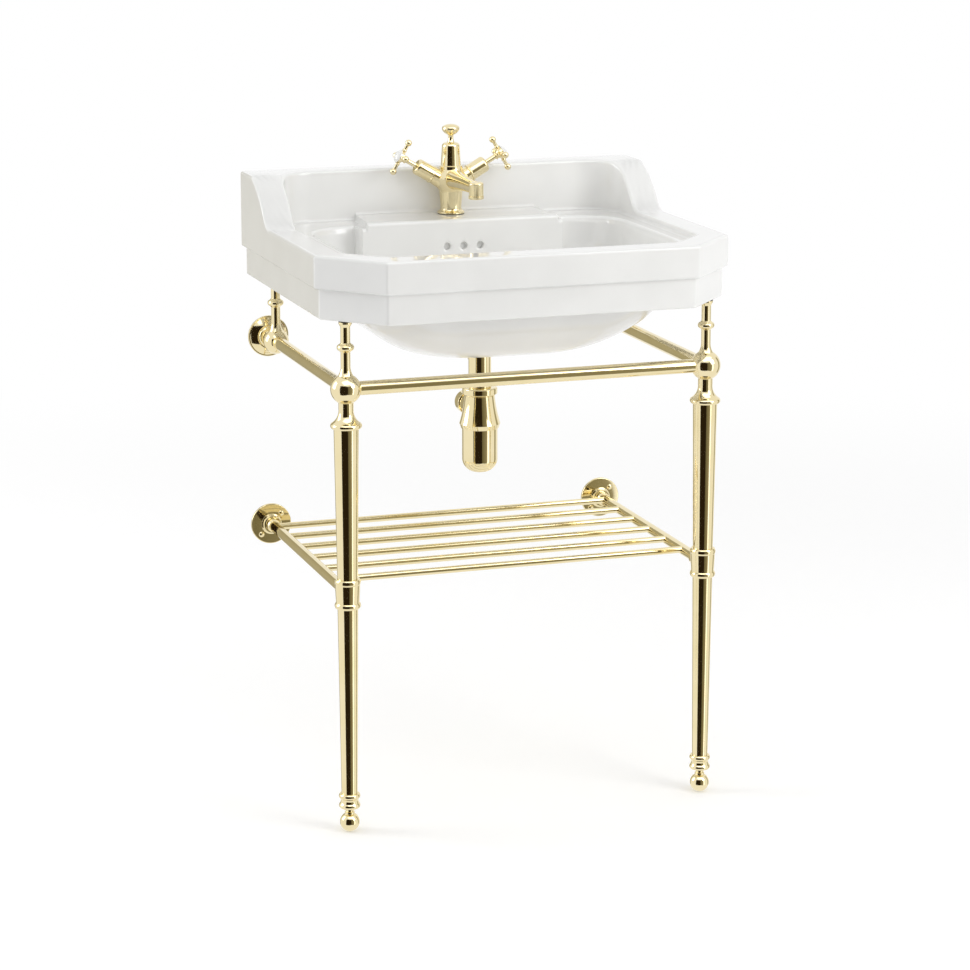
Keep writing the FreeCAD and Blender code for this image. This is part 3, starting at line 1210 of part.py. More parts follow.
def shelf_sleeve(side, sign):
    """Sleeve that joins the two leg tubes and carries a side rail of the shelf."""
    body = new_body(f"shelf_sleeve_{side}", x=f"{sign} * {LEG_HALF}", y=LEG_Y)
    socket = "(leg_sleeve_radius + rail_fit)"
    high = f"({SLEEVE_TOP} - {SLEEVE_SOCKET})"
    low = f"({SLEEVE_BOTTOM} + {SLEEVE_SOCKET})"
    edge = "sleeve_bead_radius - 1.6"
    sketch = new_sketch(body, f"sleeve_{side}_profile", "XZ_Plane")
    moves = [
        (edge, SLEEVE_BOTTOM),
        ("sleeve_bead_radius", f"{SLEEVE_BOTTOM} + sleeve_bead_width / 2", edge, low),
        ("sleeve_foot_radius", low),
        ("sleeve_top_radius", high),
        ("sleeve_bead_radius", f"{SLEEVE_TOP} - sleeve_bead_width / 2", edge, SLEEVE_TOP),
        (socket, SLEEVE_TOP),
        (socket, high),
        ("leg_bore_radius", high),
        ("leg_bore_radius", low),
        (socket, low),
    ]
    draw(sketch, (socket, SLEEVE_BOTTOM), moves)
    revolve(body, sketch)
    rod(body, f"rail_boss_{side}", "side_boss_radius", "side_boss_long + 4",
        y="sleeve_top_radius - 4", z="shelf_height", **TO_WALL)
    bore(body, f"rail_socket_{side}", "shelf_side_radius + rail_fit", "side_boss_long",
         y=SIDE_RAIL_START, z="shelf_height", **TO_WALL)
    return body


def leg_lower(side, sign):
    """Lower leg tube with its two foot beads; the levelling foot screws in from below."""
    top = f"({SLEEVE_BOTTOM} + {SLEEVE_SOCKET})"
    stud = "(foot_stud_radius + foot_fit)"
    half = "(foot_bead_width / 2)"
    edge = "foot_bead_radius - 1.6"
    solid_top = "(foot_bead_height + foot_stud_long - 8)"
    moves = [
        (edge, FOOT_SOCKET),
        ("foot_bead_radius", FOOT_LOW_BEAD, edge, f"{FOOT_LOW_BEAD} + {half}"),
        ("foot_waist_radius", f"foot_bead_height - foot_bead_drop / 2", edge,
         f"foot_bead_height - {half}"),
        ("foot_bead_radius", "foot_bead_height", edge, f"foot_bead_height + {half}"),
        ("leg_foot_radius", f"foot_bead_height + {half}"),
        ("leg_sleeve_radius", SLEEVE_BOTTOM),
        ("leg_sleeve_radius", top),
        ("leg_bore_radius", top),
        ("leg_bore_radius", solid_top),
        (stud, solid_top),
    ]
    return turned(f"leg_lower_{side}", (stud, FOOT_SOCKET), moves, x=f"{sign} * {LEG_HALF}", y=LEG_Y)


def levelling_foot(side, sign):
    neck = f"({FOOT_CENTRE} + {ball_height('foot_ball_radius', 'foot_neck_radius')})"
    tip = f"({FOOT_SHOULDER} + foot_stud_long)"
    moves = [
        ("foot_flat_radius", "0"),
        ("foot_ball_radius", FOOT_CENTRE, "foot_neck_radius", neck),
        ("foot_neck_radius", FOOT_SHOULDER),
        ("foot_stud_radius", FOOT_SHOULDER),
        ("foot_stud_radius", f"{tip} - 1"),
        ("foot_stud_radius - 1", tip),
        ("0", tip),
    ]
    return turned(f"levelling_foot_{side}", ("0", "0"), moves, x=f"{sign} * {LEG_HALF}", y=LEG_Y)


def stem(name, side, sign, y, ball_radius):
    """Stem from a ball up to the china, with a bead and a flared head."""
    foot = f"({BALL_AXIS} + {ball_height(ball_radius, '(stem_radius + rail_fit)')} - stem_seat)"
    half = "(stem_bead_width / 2)"
    moves = [
        ("stem_radius", foot),
        ("stem_radius", f"{STEM_BEAD} - {half} - 2"),
        ("stem_bead_radius - 3.2", f"{STEM_BEAD} - {half}"),
        ("stem_bead_radius", STEM_BEAD, "stem_bead_radius - 3.2",
         f"{STEM_BEAD} + {half}"),
        ("stem_radius", f"{STEM_BEAD} + {half} + 2"),
        ("stem_radius", f"{STEM_TOP} - stem_flare_height"),
        ("stem_flare_radius", f"{STEM_TOP} - stem_flare_height * 0.35"),
        ("stem_flare_radius", STEM_TOP),
        ("0", STEM_TOP),
    ]
    return turned(f"{name}_stem_{side}", ("0", foot), moves, x=f"{sign} * {LEG_HALF}", y=y)


def rear_ball(side, sign):
    body = new_body(f"rear_ball_{side}", x=f"{sign} * {LEG_HALF}", y=REAR_Y, z=BALL_AXIS)
    ball(body, f"rear_ball_{side}_solid", "rear_ball_radius")
    bore(body, f"rear_rail_socket_{side}", "rail_radius + rail_fit", "rear_ball_radius",
         y=f"-{REAR_RAIL_END}", **TO_FRONT)
    bore(body, f"stem_socket_{side}", "stem_radius + rail_fit", "rear_ball_radius",
         z=f"{ball_height('rear_ball_radius', '(stem_radius + rail_fit)')} - stem_seat")
    bore(body, f"neck_socket_{side}", "flange_neck_radius + rail_fit", "rear_ball_radius",
         y=f"rear_setback - {NECK_END}", **TO_WALL)
    return body


def upper_wall_flange(side, sign):
    """Ogee flange with a stud hole in its back; its neck is let into the rear ball."""
    body = new_body(f"upper_wall_flange_{side}", x=f"{sign} * {LEG_HALF}", y=WALL, z=BALL_AXIS,
                    **TO_FRONT)
    ring = "flange_ring_radius"
    sketch = new_sketch(body, f"upper_flange_{side}_profile", "XZ_Plane")
    moves = [
        ("flange_radius", "0"),
        ("flange_radius", "flange_rim - 1"),
        ("flange_radius - 1", "flange_rim"),
        ("flange_radius - 2.5", "flange_rim"),
        (f"({ring} + flange_radius) / 2 + 1.6", "flange_rim + 2.4", f"{ring} + 2.6", "flange_dome - 4.5"),
        (ring, "flange_dome - 4.5"),
        (f"{ring} + 1", "flange_dome - 2.7", ring, "flange_dome - 1"),
        (f"{ring} - 1.5", "flange_dome"),
        ("flange_neck_radius + 3", "flange_dome"),
        ("flange_neck_radius + 0.8", "flange_dome + 1.2", "flange_neck_radius", "flange_dome + 4"),
        ("flange_neck_radius", NECK_END),
        ("0", NECK_END),
    ]
    draw(sketch, ("0", "0"), moves)
    revolve(body, sketch)
    bore(body, f"stud_hole_{side}", "stud_hole_radius", "stud_hole_long")
    return body


def screw_place(side, count):
    """Screws of a lower flange lie on a slant, one down to the left, one up to the right."""
    sign = ("-1", "1")[count]
    return {"x": f"{sign} * screw_circle * cos(45)", "y": f"{sign} * screw_circle * sin(45)"}


def lower_wall_flange(side, sign):
    body = new_body(f"lower_wall_flange_{side}", x=f"{sign} * {LEG_HALF}", y=WALL,
                    z="shelf_height", **TO_FRONT)
    mouth = ball_height("plate_ball_radius", "(shelf_side_radius + rail_fit)")
    ring_top = "(plate_thick + plate_ring_long)"
    sketch = new_sketch(body, f"lower_flange_{side}_profile", "XZ_Plane")
    ball_foot = ball_height("plate_ball_radius", f"({PLATE_BALL} - {ring_top})")
    moves = [
        ("flange_radius", "0"),
        ("flange_radius", "plate_thick - 1.5"),
        (f"flange_radius - 1.5 * {ROUND}", f"plate_thick - 1.5 * {ROUND}",
         "flange_radius - 1.5", "plate_thick"),
        ("plate_ring_radius + 2", "plate_thick"),
        ("plate_ring_radius + 2", "plate_thick + 2"),
        ("plate_ring_radius", "plate_thick + 3"),
        ("plate_ring_radius", f"{ring_top} - 1"),
        ("plate_ring_radius - 1", ring_top),
        (ball_foot, ring_top),
        ("plate_ball_radius", PLATE_BALL, "shelf_side_radius + rail_fit", f"{PLATE_BALL} + {mouth}"),
        ("shelf_side_radius + rail_fit", PLATE_RAIL_END),
        ("0", PLATE_RAIL_END),
    ]
    draw(sketch, ("0", "0"), moves)
    revolve(body, sketch)
    for count in range(FLANGE_SCREWS):
        bore(body, f"screw_hole_{side}_{count}", "screw_hole_radius", "plate_thick + 2",
             z="-1", **screw_place(side, count))
    return body


def wall_screws():
    screws = []
    for side, sign in SIDES:
        for count in range(FLANGE_SCREWS):
            spot = screw_place(side, count)
            moves = [
                ("screw_hole_radius", "0"),
                ("screw_hole_radius", "plate_thick"),
                ("screw_head_radius", "plate_thick"),
                dome("screw_head_radius", "plate_thick", "(plate_thick + screw_head_rise)"),
            ]
            screw = turned(f"wall_screw_{side}_{count + 1}", ("0", "0"), moves,
                           x=f"{sign} * {LEG_HALF} + {spot['x']}", y=WALL,
                           z=f"shelf_height + {spot['y']}", **TO_FRONT)
            screws.append(screw)
    return group("wall_screws", screws)


def straight_bar(label, radius, length, **where):
    return turned(label, ("0", "0"), [(radius, "0"), (radius, length), ("0", length)], **where)


def towel_rails():
    half = f"({LEG_HALF} - {FRONT_RAIL_END})"
    straight_bar("front_rail", "rail_radius", f"{half} * 2", x=f"-{half}", y=LEG_Y,
                 z=BALL_AXIS, **TO_RIGHT)
    long = f"leg_setback - rear_setback - {FRONT_RAIL_END} - {REAR_RAIL_END}"
    for side, sign in SIDES:
        straight_bar(f"side_rail_{side}", "rail_radius", long, x=f"{sign} * {LEG_HALF}",
                     y=f"{LEG_Y} + {FRONT_RAIL_END}", z=BALL_AXIS, **TO_WALL)


def shelf_side_rail(side, sign):
    long = f"(leg_setback - {SIDE_RAIL_START} - {PLATE_RAIL_END})"
    body = straight_bar(f"shelf_side_rail_{side}", "shelf_side_radius", long,
                        x=f"{sign} * {LEG_HALF}", y=f"{WALL} - {PLATE_RAIL_END}",
                        z="shelf_height", **TO_FRONT)
    inward = {"axis": Y_AXIS, "turn": f"-90 * {sign}"}
    for count in range(SHELF_RAILS):
        bore(body, f"rail_hole_{side}_{count + 1}", "shelf_rail_radius + rail_fit",
             "shelf_side_radius * 2",
             x=f"-{sign} * (shelf_side_radius - shelf_rail_seat)", y="shelf_rail_rise",
             z=f"shelf_first + {count} * shelf_pitch - {PLATE_RAIL_END}", **inward)
    return body


def shelf_rails():
    half = f"({LEG_HALF} - shelf_side_radius + shelf_rail_seat)"
    rails = []
    for count in range(SHELF_RAILS):
        rail = straight_bar(f"shelf_rail_{count + 1}", "shelf_rail_radius", f"{half} * 2",
                            x=f"-{half}", y=f"{WALL} - shelf_first - {count} * shelf_pitch",
                            z="shelf_height + shelf_rail_rise", **TO_RIGHT)
        rails.append(rail)
    return group("shelf_rails", rails)


def stem_pads():
    pads = []
    for side, sign in SIDES:
        for name, y in (("front", LEG_Y), ("rear", REAR_Y)):
            pads.append(straight_bar(f"{name}_pad_{side}", "stem_flare_radius", "pad_thick",
                                     x=f"{sign} * {LEG_HALF}", y=y, z=STEM_TOP))
    return group("stem_pads", pads)


# Build the sub-parts.

basin()
mixer_body()
aerator()
cartridges = []
for side in ("hot", "cold"):
    valve_cover(side)
    cartridges.append(cartridge(side))
    spindle(side)
    cross_handle(side)
    index_button(side)
group("valve_cartridges", cartridges)
mixer_fixings()

lift_knob()
lift_rod()
lift_strap()
strap_screw()
pivot_rod()
pivot_nut()
waste_plug()
waste_body()
waste_fixings()

trap_inlet_nut()
trap_body()
trap_cup()
trap_dip_tube()
trap_seals()
trap_outlet_nut()

for side, sign in SIDES:
    leg_ball(side, sign)
    leg_upper(side, sign)
    shelf_sleeve(side, sign)
    leg_lower(side, sign)
    levelling_foot(side, sign)
    stem("front", side, sign, LEG_Y, "front_ball_radius")
    stem("rear", side, sign, REAR_Y, "rear_ball_radius")
    rear_ball(side, sign)
    upper_wall_flange(side, sign)
    lower_wall_flange(side, sign)
    shelf_side_rail(side, sign)
towel_rails()
shelf_rails()
wall_screws()
stem_pads()

doc.recompute()
for item in doc.Objects:
    if "Invalid" in item.State or "Error" in item.State:
        raise RuntimeError(f"{item.Label} did not build: {item.State}")

os.makedirs("parts", exist_ok=True)
for part in PARTS:
    if part.Shape.isNull() or not part.Shape.isValid():
        raise RuntimeError(f"{part.Label} has no sound shape")
    part.Shape.exportStep(f"parts/{part.Label}.step")
print(len(PARTS), "sub-parts")
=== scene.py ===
# %% [markdown]
# # A china basin on a gilt washstand
# The CAD model is the fixed frame: every piece made here takes the place of one of its parts and rides on
# the same moving body. Blender only adds what CAD leaves out: soft glaze edges, turnings with filed
# corners, and finishes that answer to light.

# %% Load the frame
import json
import math
import bmesh
import bpy
import numpy as np
from mathutils import Matrix, Vector


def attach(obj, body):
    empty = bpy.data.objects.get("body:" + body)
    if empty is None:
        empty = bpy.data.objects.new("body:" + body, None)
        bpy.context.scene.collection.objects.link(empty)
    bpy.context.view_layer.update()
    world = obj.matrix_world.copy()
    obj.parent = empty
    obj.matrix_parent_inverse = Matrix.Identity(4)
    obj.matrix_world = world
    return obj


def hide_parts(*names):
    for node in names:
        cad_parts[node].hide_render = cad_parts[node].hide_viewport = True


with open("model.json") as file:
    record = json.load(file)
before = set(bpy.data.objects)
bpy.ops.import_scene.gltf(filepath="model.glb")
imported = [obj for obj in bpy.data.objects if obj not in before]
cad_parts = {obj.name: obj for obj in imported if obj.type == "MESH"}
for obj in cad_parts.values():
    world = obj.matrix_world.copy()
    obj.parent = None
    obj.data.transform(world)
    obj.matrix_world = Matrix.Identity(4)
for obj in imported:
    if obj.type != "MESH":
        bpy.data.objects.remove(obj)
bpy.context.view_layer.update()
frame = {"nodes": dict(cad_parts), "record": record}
STAND = "basin_and_stand"

# %% [markdown]
# ## Colours and nodes
# Finishes are written as sRGB hex, as on a colour card, and Blender wants linear light. One function
# turns the one into the other, and one function adds any node with its settings and its links. Patterns
# read Object coordinates, which are in metres, so patches N millimetres across have a scale of 1000 / N.

# %% Colour and node helpers
def linear(code):
    """Linear RGBA of an sRGB hex code: each channel over 0.04045 is ((c + 0.055) / 1.055) ** 2.4."""
    channels = np.array([int(code[i:i + 2], 16) for i in (1, 3, 5)]) / 255
    high = ((channels + 0.055) / 1.055) ** 2.4
    return (*np.where(channels <= 0.04045, channels / 12.92, high), 1.0)


def add(tree, kind, settings=None, links=None, stops=(), **options):
    """Any node: options are its properties, settings its sockets' values, links the sockets that feed
    it, and stops a colour ramp's (position, hex) pairs."""
    node = tree.nodes.new(kind)
    for name, value in options.items():
        setattr(node, name, value)
    for name, value in (settings or {}).items():
        node.inputs[name].default_value = value
    for name, socket in (links or {}).items():
        tree.links.new(socket, node.inputs[name])
    if stops:
        band = node.color_ramp
        while len(band.elements) < len(stops):
            band.elements.new(0.5)
        for element, (position, code) in zip(band.elements, stops):
            element.position = position
            element.color = linear(code)
    return node


def finish_named(name):
    """An empty node material, its tree, and the Object coordinates in metres."""
    material = bpy.data.materials.new(name)
    material.use_nodes = True
    tree = material.node_tree
    tree.nodes.clear()
    place = add(tree, "ShaderNodeTexCoord").outputs["Object"]
    return material, tree, place


print("mid grey #808080 in linear light:", round(linear("#808080")[0], 4))

# %% [markdown]
# ## The metal: polished brass under a pale gold plate
# Turned brass is buffed until no tool mark is left, then plated. The eye sees a mirror with a warm tint,
# pale where it meets a white wall and dark brown where it meets shade. What betrays that it is real is a
# faint unevenness left by the buffing mop, a few centimetres long, and hairlines finer than a render
# shows, so the hairlines are drawn about 0.4 mm apart.

# %% Gold plate
MOP_WAVE_MM = 45.45
HAZE_MM = 6.25
HAIRLINE_MM = 0.4


def gold_plate():
    """Mirror metal: the mop's waves tint and bend it, and a finer haze varies its roughness."""
    material, tree, place = finish_named("polished_gold_plate_on_brass")
    mop = add(tree, "ShaderNodeTexNoise", {"Scale": 1000 / MOP_WAVE_MM, "Detail": 3.0, "Roughness": 0.5},
              {"Vector": place}).outputs["Fac"]
    haze = add(tree, "ShaderNodeTexNoise", {"Scale": 1000 / HAZE_MM, "Detail": 4.0, "Roughness": 0.6},
               {"Vector": place}).outputs["Fac"]
    hairlines = add(tree, "ShaderNodeTexNoise", {"Scale": 1000 / HAIRLINE_MM, "Detail": 2.0},
                    {"Vector": place}).outputs["Fac"]
    tint = add(tree, "ShaderNodeValToRGB", {}, {"Fac": mop}, ((0.3, "#EBDCAE"), (0.7, "#F0E2BA")))
    rough = add(tree, "ShaderNodeMapRange", {"To Min": 0.05, "To Max": 0.12}, {"Value": haze})
    height = add(tree, "ShaderNodeMath", {1: 0.02}, {0: hairlines, 2: mop}, operation="MULTIPLY_ADD")
    bump = add(tree, "ShaderNodeBump", {"Strength": 0.03, "Distance": 0.001}, {"Height": height.outputs[0]})
    shader = add(tree, "ShaderNodeBsdfPrincipled", {"Metallic": 1.0},
                 {"Base Color": tint.outputs["Color"], "Roughness": rough.outputs["Result"],
                  "Normal": bump.outputs["Normal"]})
    add(tree, "ShaderNodeOutputMaterial", {}, {"Surface": shader.outputs[0]})
    return material


gold = gold_plate()
print("made", gold.name)

# %% [markdown]
# ## The china: glazed vitreous china
# The basin is cast from clay slip, dipped in a white glaze and fired. The glaze runs a little before it
# sets, so the surface is glassy but never quite flat: it waves by hundredths of a millimetre over a few
# centimetres. The glaze is a clear coat here, over a duller white body, which is why the highlights are
# sharp while the shading is gentle.

# %% Glazed china
GLAZE_RUN_MM = 71.43
ORANGE_PEEL_MM = 2.222


def glazed_china():
    """White body under a clear coat: the glaze's runs tint it, and both coat and body follow one bump."""
    material, tree, place = finish_named("white_glazed_vitreous_china")
    run = add(tree, "ShaderNodeTexNoise", {"Scale": 1000 / GLAZE_RUN_MM, "Detail": 2.0, "Roughness": 0.45},
              {"Vector": place}).outputs["Fac"]
    peel = add(tree, "ShaderNodeTexNoise", {"Scale": 1000 / ORANGE_PEEL_MM, "Detail": 1.0},
               {"Vector": place}).outputs["Fac"]
    tint = add(tree, "ShaderNodeValToRGB", {}, {"Fac": run}, ((0.35, "#EFEFED"), (0.65, "#F3F3F1")))
    rough = add(tree, "ShaderNodeMapRange", {"To Min": 0.28, "To Max": 0.36}, {"Value": run})
    height = add(tree, "ShaderNodeMath", {1: 0.012}, {0: peel, 2: run}, operation="MULTIPLY_ADD")
    bump = add(tree, "ShaderNodeBump", {"Strength": 0.05, "Distance": 0.002}, {"Height": height.outputs[0]})
    shader = add(tree, "ShaderNodeBsdfPrincipled",
                 {"IOR": 1.5, "Coat Weight": 1.0, "Coat Roughness": 0.03, "Coat IOR": 1.5},
                 {"Base Color": tint.outputs["Color"], "Roughness": rough.outputs["Result"],
                  "Normal": bump.outputs["Normal"], "Coat Normal": bump.outputs["Normal"]})
    add(tree, "ShaderNodeOutputMaterial", {}, {"Surface": shader.outputs[0]})
    return material


china = glazed_china()
print("made", china.name)

# %% [markdown]
# ## The small finishes
# Black rubber is moulded with talc and looks dull grey-black. Stainless steel screws are turned and
# left bright. Copper tails are drawn tube, browned by the air. The cartridge is white moulded plastic.
# All four are mostly hidden, so one recipe with a patch size, two tints and two roughnesses serves them.

# %% Small finishes
def plain_finish(name, tints, patch_mm, rough, metal=0.0):
    """A mottled finish: patches of that size in millimetres between two tints and two roughnesses."""
    material, tree, place = finish_named(name)
    patch = add(tree, "ShaderNodeTexNoise", {"Scale": 1000 / patch_mm, "Detail": 4.0},
                {"Vector": place}).outputs["Fac"]
    tint = add(tree, "ShaderNodeValToRGB", {}, {"Fac": patch}, ((0.35, tints[0]), (0.65, tints[1])))
    sheen = add(tree, "ShaderNodeMapRange", {"To Min": rough[0], "To Max": rough[1]}, {"Value": patch})
    bump = add(tree, "ShaderNodeBump", {"Strength": 0.1, "Distance": 0.0003}, {"Height": patch})
    shader = add(tree, "ShaderNodeBsdfPrincipled", {"Metallic": metal},
                 {"Base Color": tint.outputs["Color"], "Roughness": sheen.outputs["Result"],
                  "Normal": bump.outputs["Normal"]})
    add(tree, "ShaderNodeOutputMaterial", {}, {"Surface": shader.outputs[0]})
    return material


rubber = plain_finish("moulded_black_rubber", ("#1C1C1B", "#262523"), 2.5, (0.55, 0.75))
steel = plain_finish("turned_stainless_steel", ("#B9B9B5", "#C8C8C4"), 1.2, (0.2, 0.32), 1.0)
copper = plain_finish("drawn_copper_tube", ("#A9633F", "#C27B52"), 9.0, (0.25, 0.42), 1.0)
plastic = plain_finish("white_moulded_plastic", ("#DDDDD9", "#E6E6E2"), 3.0, (0.3, 0.42))
print("made", rubber.name, steel.name, copper.name, plastic.name)

# %% [markdown]
# ## Everything that stays as CAD made it
# Nine fixings, hidden or nearly so, keep their CAD meshes. Each node's slot in the record says which
# finish it takes, so all the nodes are dressed first, and the new pieces take over the rest further on.

# %% Dress the CAD nodes
FINISHES = {"gold_plate": gold, "white_china": china, "rubber": rubber, "steel": steel,
            "copper": copper, "cartridge_plastic": plastic}
SLOT_OF = {row["node"]: row["material_slot"] for row in frame["record"]["subparts"]}
for node_name, node_object in frame["nodes"].items():
    node_object.data.materials.clear()
    node_object.data.materials.append(FINISHES[SLOT_OF[node_name]])
print("slots:", sorted(set(SLOT_OF.values())))

# %% [markdown]
# ## Turned pieces
# Nearly every metal part of a washstand is turned on a lathe, so its form is one half outline carried
# round an axis. The outline is a list of (radius, height) in millimetres; a row of four numbers is an arc
# through its first pair to its second. A lathe hand breaks every sharp edge with a file, so each corner
# gets a tiny radius, and a guard point on each long side beside it keeps the flats flat in the shading.

# %% Outline helpers
ARC_POINTS = 7              # on a small arc; a taller one gets one more for each millimetre of height
FILED_EDGE = 0.35           # radius of a broken edge
SHARP = math.radians(18)    # a corner that turns by less is left alone
SIDE_SHARE = 0.42           # the most of a side that one broken edge may take
LONG_SIDE = 4               # a side longer than this many cuts gets a guard point
GUARD = 1.6                 # how many cuts from the corner the guard point lies


def arc_points(start, middle, end, count=9):
    """Points on the circle through three points: its centre solves two linear equations, and the
    angle runs evenly from the start past the middle to the end."""
    start, middle, end = (np.array(p, float) for p in (start, middle, end))
    lines = 2 * np.array([middle - start, end - start])
    centre = np.linalg.solve(lines, [middle @ middle - start @ start, end @ end - start @ start])
    angles = [math.atan2(*(p - centre)[::-1]) for p in (start, middle, end)]
    for i in (1, 2):
        angles[i] = angles[0] + (angles[i] - angles[0]) % (2 * math.pi)
    if angles[1] > angles[2]:
        angles[2] -= 2 * math.pi
    turn = np.linspace(angles[0], angles[2], count)[1:]
    radius = np.linalg.norm(start - centre)
    return centre + radius * np.column_stack([np.cos(turn), np.sin(turn)])


def outline_points(rows):
    """The outline as points: straight to a pair, or round an arc to the second pair of a four."""
    points = [np.array(rows[0], float)]
    for row in rows[1:]:
        if len(row) == 2:
            points.append(np.array(row, float))
        else:
            count = ARC_POINTS + int(abs(row[1] - row[3]))
            points.extend(arc_points(points[-1], row[:2], row[2:], count))
    return np.array(points)


def broken_edges(points, radius=FILED_EDGE, closed=False):
    """Replaces each corner sharper than 18 degrees by a small arc of that radius.

    The arc starts radius * tan(half the turn) before the corner, or less where the side is short,
    and its points are the quadratic mean of its two ends and the corner.
    """
    result = []
    count = len(points)
    for i in range(count):
        here = points[i]
        if not closed and i in (0, count - 1):
            result.append(here)
            continue
        back, ahead = points[i - 1] - here, points[(i + 1) % count] - here
        lengths = np.linalg.norm(back), np.linalg.norm(ahead)
        turn = math.acos(np.clip(-(back @ ahead) / (lengths[0] * lengths[1]), -1, 1))
        if turn < SHARP:
            result.append(here)
            continue
        cut = min(radius * math.tan(turn / 2), SIDE_SHARE * min(lengths))
        first = here + back / lengths[0] * cut
        last = here + ahead / lengths[1] * cut
        if lengths[0] > LONG_SIDE * cut:
            result.append(here + back / lengths[0] * cut * GUARD)
        share = np.linspace(0, 1, 5)[:, None]
        result.extend((1 - share) ** 2 * first + 2 * share * (1 - share) * here + share ** 2 * last)
        if lengths[1] > LONG_SIDE * cut:
            result.append(here + ahead / lengths[1] * cut * GUARD)
    return np.array(result)


square = outline_points([(0, 0), (5, 0), (5, 5), (0, 5)])
print("a square half outline has", len(square), "points, and", len(broken_edges(square)), "once filed")

# %% [markdown]
# ## From outline to piece
# A turned surface is the outline repeated round the axis, with neighbouring rings joined by quads. It is
# made standing on the origin and then put in its place, because that is how a lathe sees it: one axis, one
# outline. Several surfaces can share one piece, as a sleeve and its boss do: they run into each other, and
# no Boolean is needed where the real join shows no more than a crisp line.

# %% Turned surface
def turned_surface(rows, steps=72, edge=FILED_EDGE, closed=False):
    """Surface of revolution on a grid: x = r cos(a), y = r sin(a), z = h.

    a runs once round, (r, h) along the outline. A point on the axis becomes one shared vertex, so the
    pole is closed.
    """
    points = broken_edges(outline_points(rows), edge, closed)
    angle = np.linspace(0, 2 * math.pi, steps, endpoint=False)
    vertices, faces, rings = [], [], []
    for radius, height in points:
        base = sum(len(v) for v in vertices)
        if radius < 1e-6:
            vertices.append(np.array([[0, 0, height]]))
            rings.append(np.full(steps, base))
        else:
            vertices.append(np.column_stack([radius * np.cos(angle), radius * np.sin(angle),
                                             np.full(steps, height)]))
            rings.append(base + np.arange(steps))
    following = rings[1:] + rings[:1] if closed else rings[1:]
    for low, high in zip(rings, following):
        quads = np.column_stack([low, np.roll(low, -1), np.roll(high, -1), high])
        if low[0] == low[1]:
            quads = quads[:, [0, 2, 3]]
        elif high[0] == high[1]:
            quads = quads[:, [0, 1, 2]]
        faces.extend(quads.tolist())
    return np.vstack(vertices), faces


def aimed(where=(0, 0, 0), along=(0, 0, 1)):
    """Matrix that stands a piece's own Z axis along a direction and moves its foot to a place."""
    turn = Vector((0, 0, 1)).rotation_difference(Vector(along)).to_matrix().to_4x4()
    return np.array(Matrix.Translation(Vector(where)) @ turn)


def turned(rows, place, steps=72, edge=FILED_EDGE, closed=False):
    """A turned surface in its place: a matrix turns and shifts every vertex."""
    vertices, faces = turned_surface(rows, steps, edge, closed)
    return vertices @ place[:3, :3].T + place[:3, 3], faces


def joined(surfaces):
    """Several surfaces as one: each one's faces count on from the vertices before it."""
    vertices, faces, start = [], [], 0
    for part_vertices, part_faces in surfaces:
        vertices.append(part_vertices)
        faces.extend([[start + i for i in face] for face in part_faces])
        start += len(part_vertices)
    return np.vstack(vertices), faces


disc = turned_surface([(0, 0), (5, 0), (5, 5), (0, 5)])
print("a turned disc has", len(disc[0]), "vertices and", len(disc[1]), "faces")

# %% [markdown]
# ## Riding on the frame
# Each new piece hides the CAD node that it stands for, rides on that node's body and takes that node's
# finish. Its place is in its mesh, as a CAD node's is, so the object itself stays at the origin.

# %% Make a piece
METRE = 0.001    # outlines are in millimetres, meshes in metres


def recalculate_outward(mesh):
    """Turns the faces of each closed shell outwards."""
    work = bmesh.new()
    work.from_mesh(mesh)
    bmesh.ops.recalc_face_normals(work, faces=work.faces)
    work.to_mesh(mesh)
    work.free()


def mesh_object(name, surfaces):
    """A new object in the scene, from surfaces in millimetres."""
    vertices, faces = joined(surfaces)
    mesh = bpy.data.meshes.new(name)
    mesh.from_pydata((vertices * METRE).tolist(), [], faces)
    mesh.validate()
    recalculate_outward(mesh)
    piece = bpy.data.objects.new(name, mesh)
    bpy.context.scene.collection.objects.link(piece)
    return piece


def make_piece(name, surfaces, finish, body, *nodes):
    """A piece in its finish, on its body, that stands for its CAD nodes."""
    piece = mesh_object(name, surfaces)
    piece.data.shade_smooth()
    piece.data.materials.append(FINISHES[finish])
    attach(piece, body)
    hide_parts(*nodes)
    return piece


def plated(name, node, *surfaces, body=STAND):
    """A gold-plated piece, fixed to the stand unless another body is named."""
    return make_piece(name, surfaces, "gold_plate", body, node)


print("finishes to choose from:", ", ".join(FINISHES))

# %% [markdown]
# ## Legs, stems and feet
# A leg is two tapered tubes in a sleeve, with a collar, neck and ball above and a ball foot below. Each
# is its own casting on the real stand, and each stands on the same axis, so each is turned on its own and
# stood in its place. Heights in a leg's outlines are heights over the floor.

# %% Leg outlines
LEG_X = 266            # the legs stand this far right and left of the middle
LEG_Y = -175           # the front legs
REAR_Y = 198           # the rear balls and stems
BALL_Z = 635           # balls, towel rails and upper flanges
SHELF_Z = 346          # shelf beams and lower flanges
FRONT_RADIUS = 21.5    # of a front ball
REAR_RADIUS = 19       # of a rear ball
STEM = 6.75            # radius of a stem
FLARE = 10.5           # radius of the stem's flare where it meets its ball
STEM_TOP = 728.5
LEG_BALL = [(0, 572), (7.9, 572), (7.9, 580.5), (20.4, 580.5), (22, 584, 20.4, 587.5),
            (13.7, 594, FLARE, 607.2), (FLARE, 616.2), (FRONT_RADIUS, BALL_Z, STEM, 655.4), (0, 655.4)]
LEG_UPPER = [(0, 359), (14.4, 359), (14.4, 367), (17.5, 580.5), (0, 580.5)]
SLEEVE = [(8.2, 325), (16.9, 325), (18.5, 329, 16.9, 333), (16.5, 333), (17.7, 359),
          (18.5, 363, 16.9, 367), (8.2, 367)]
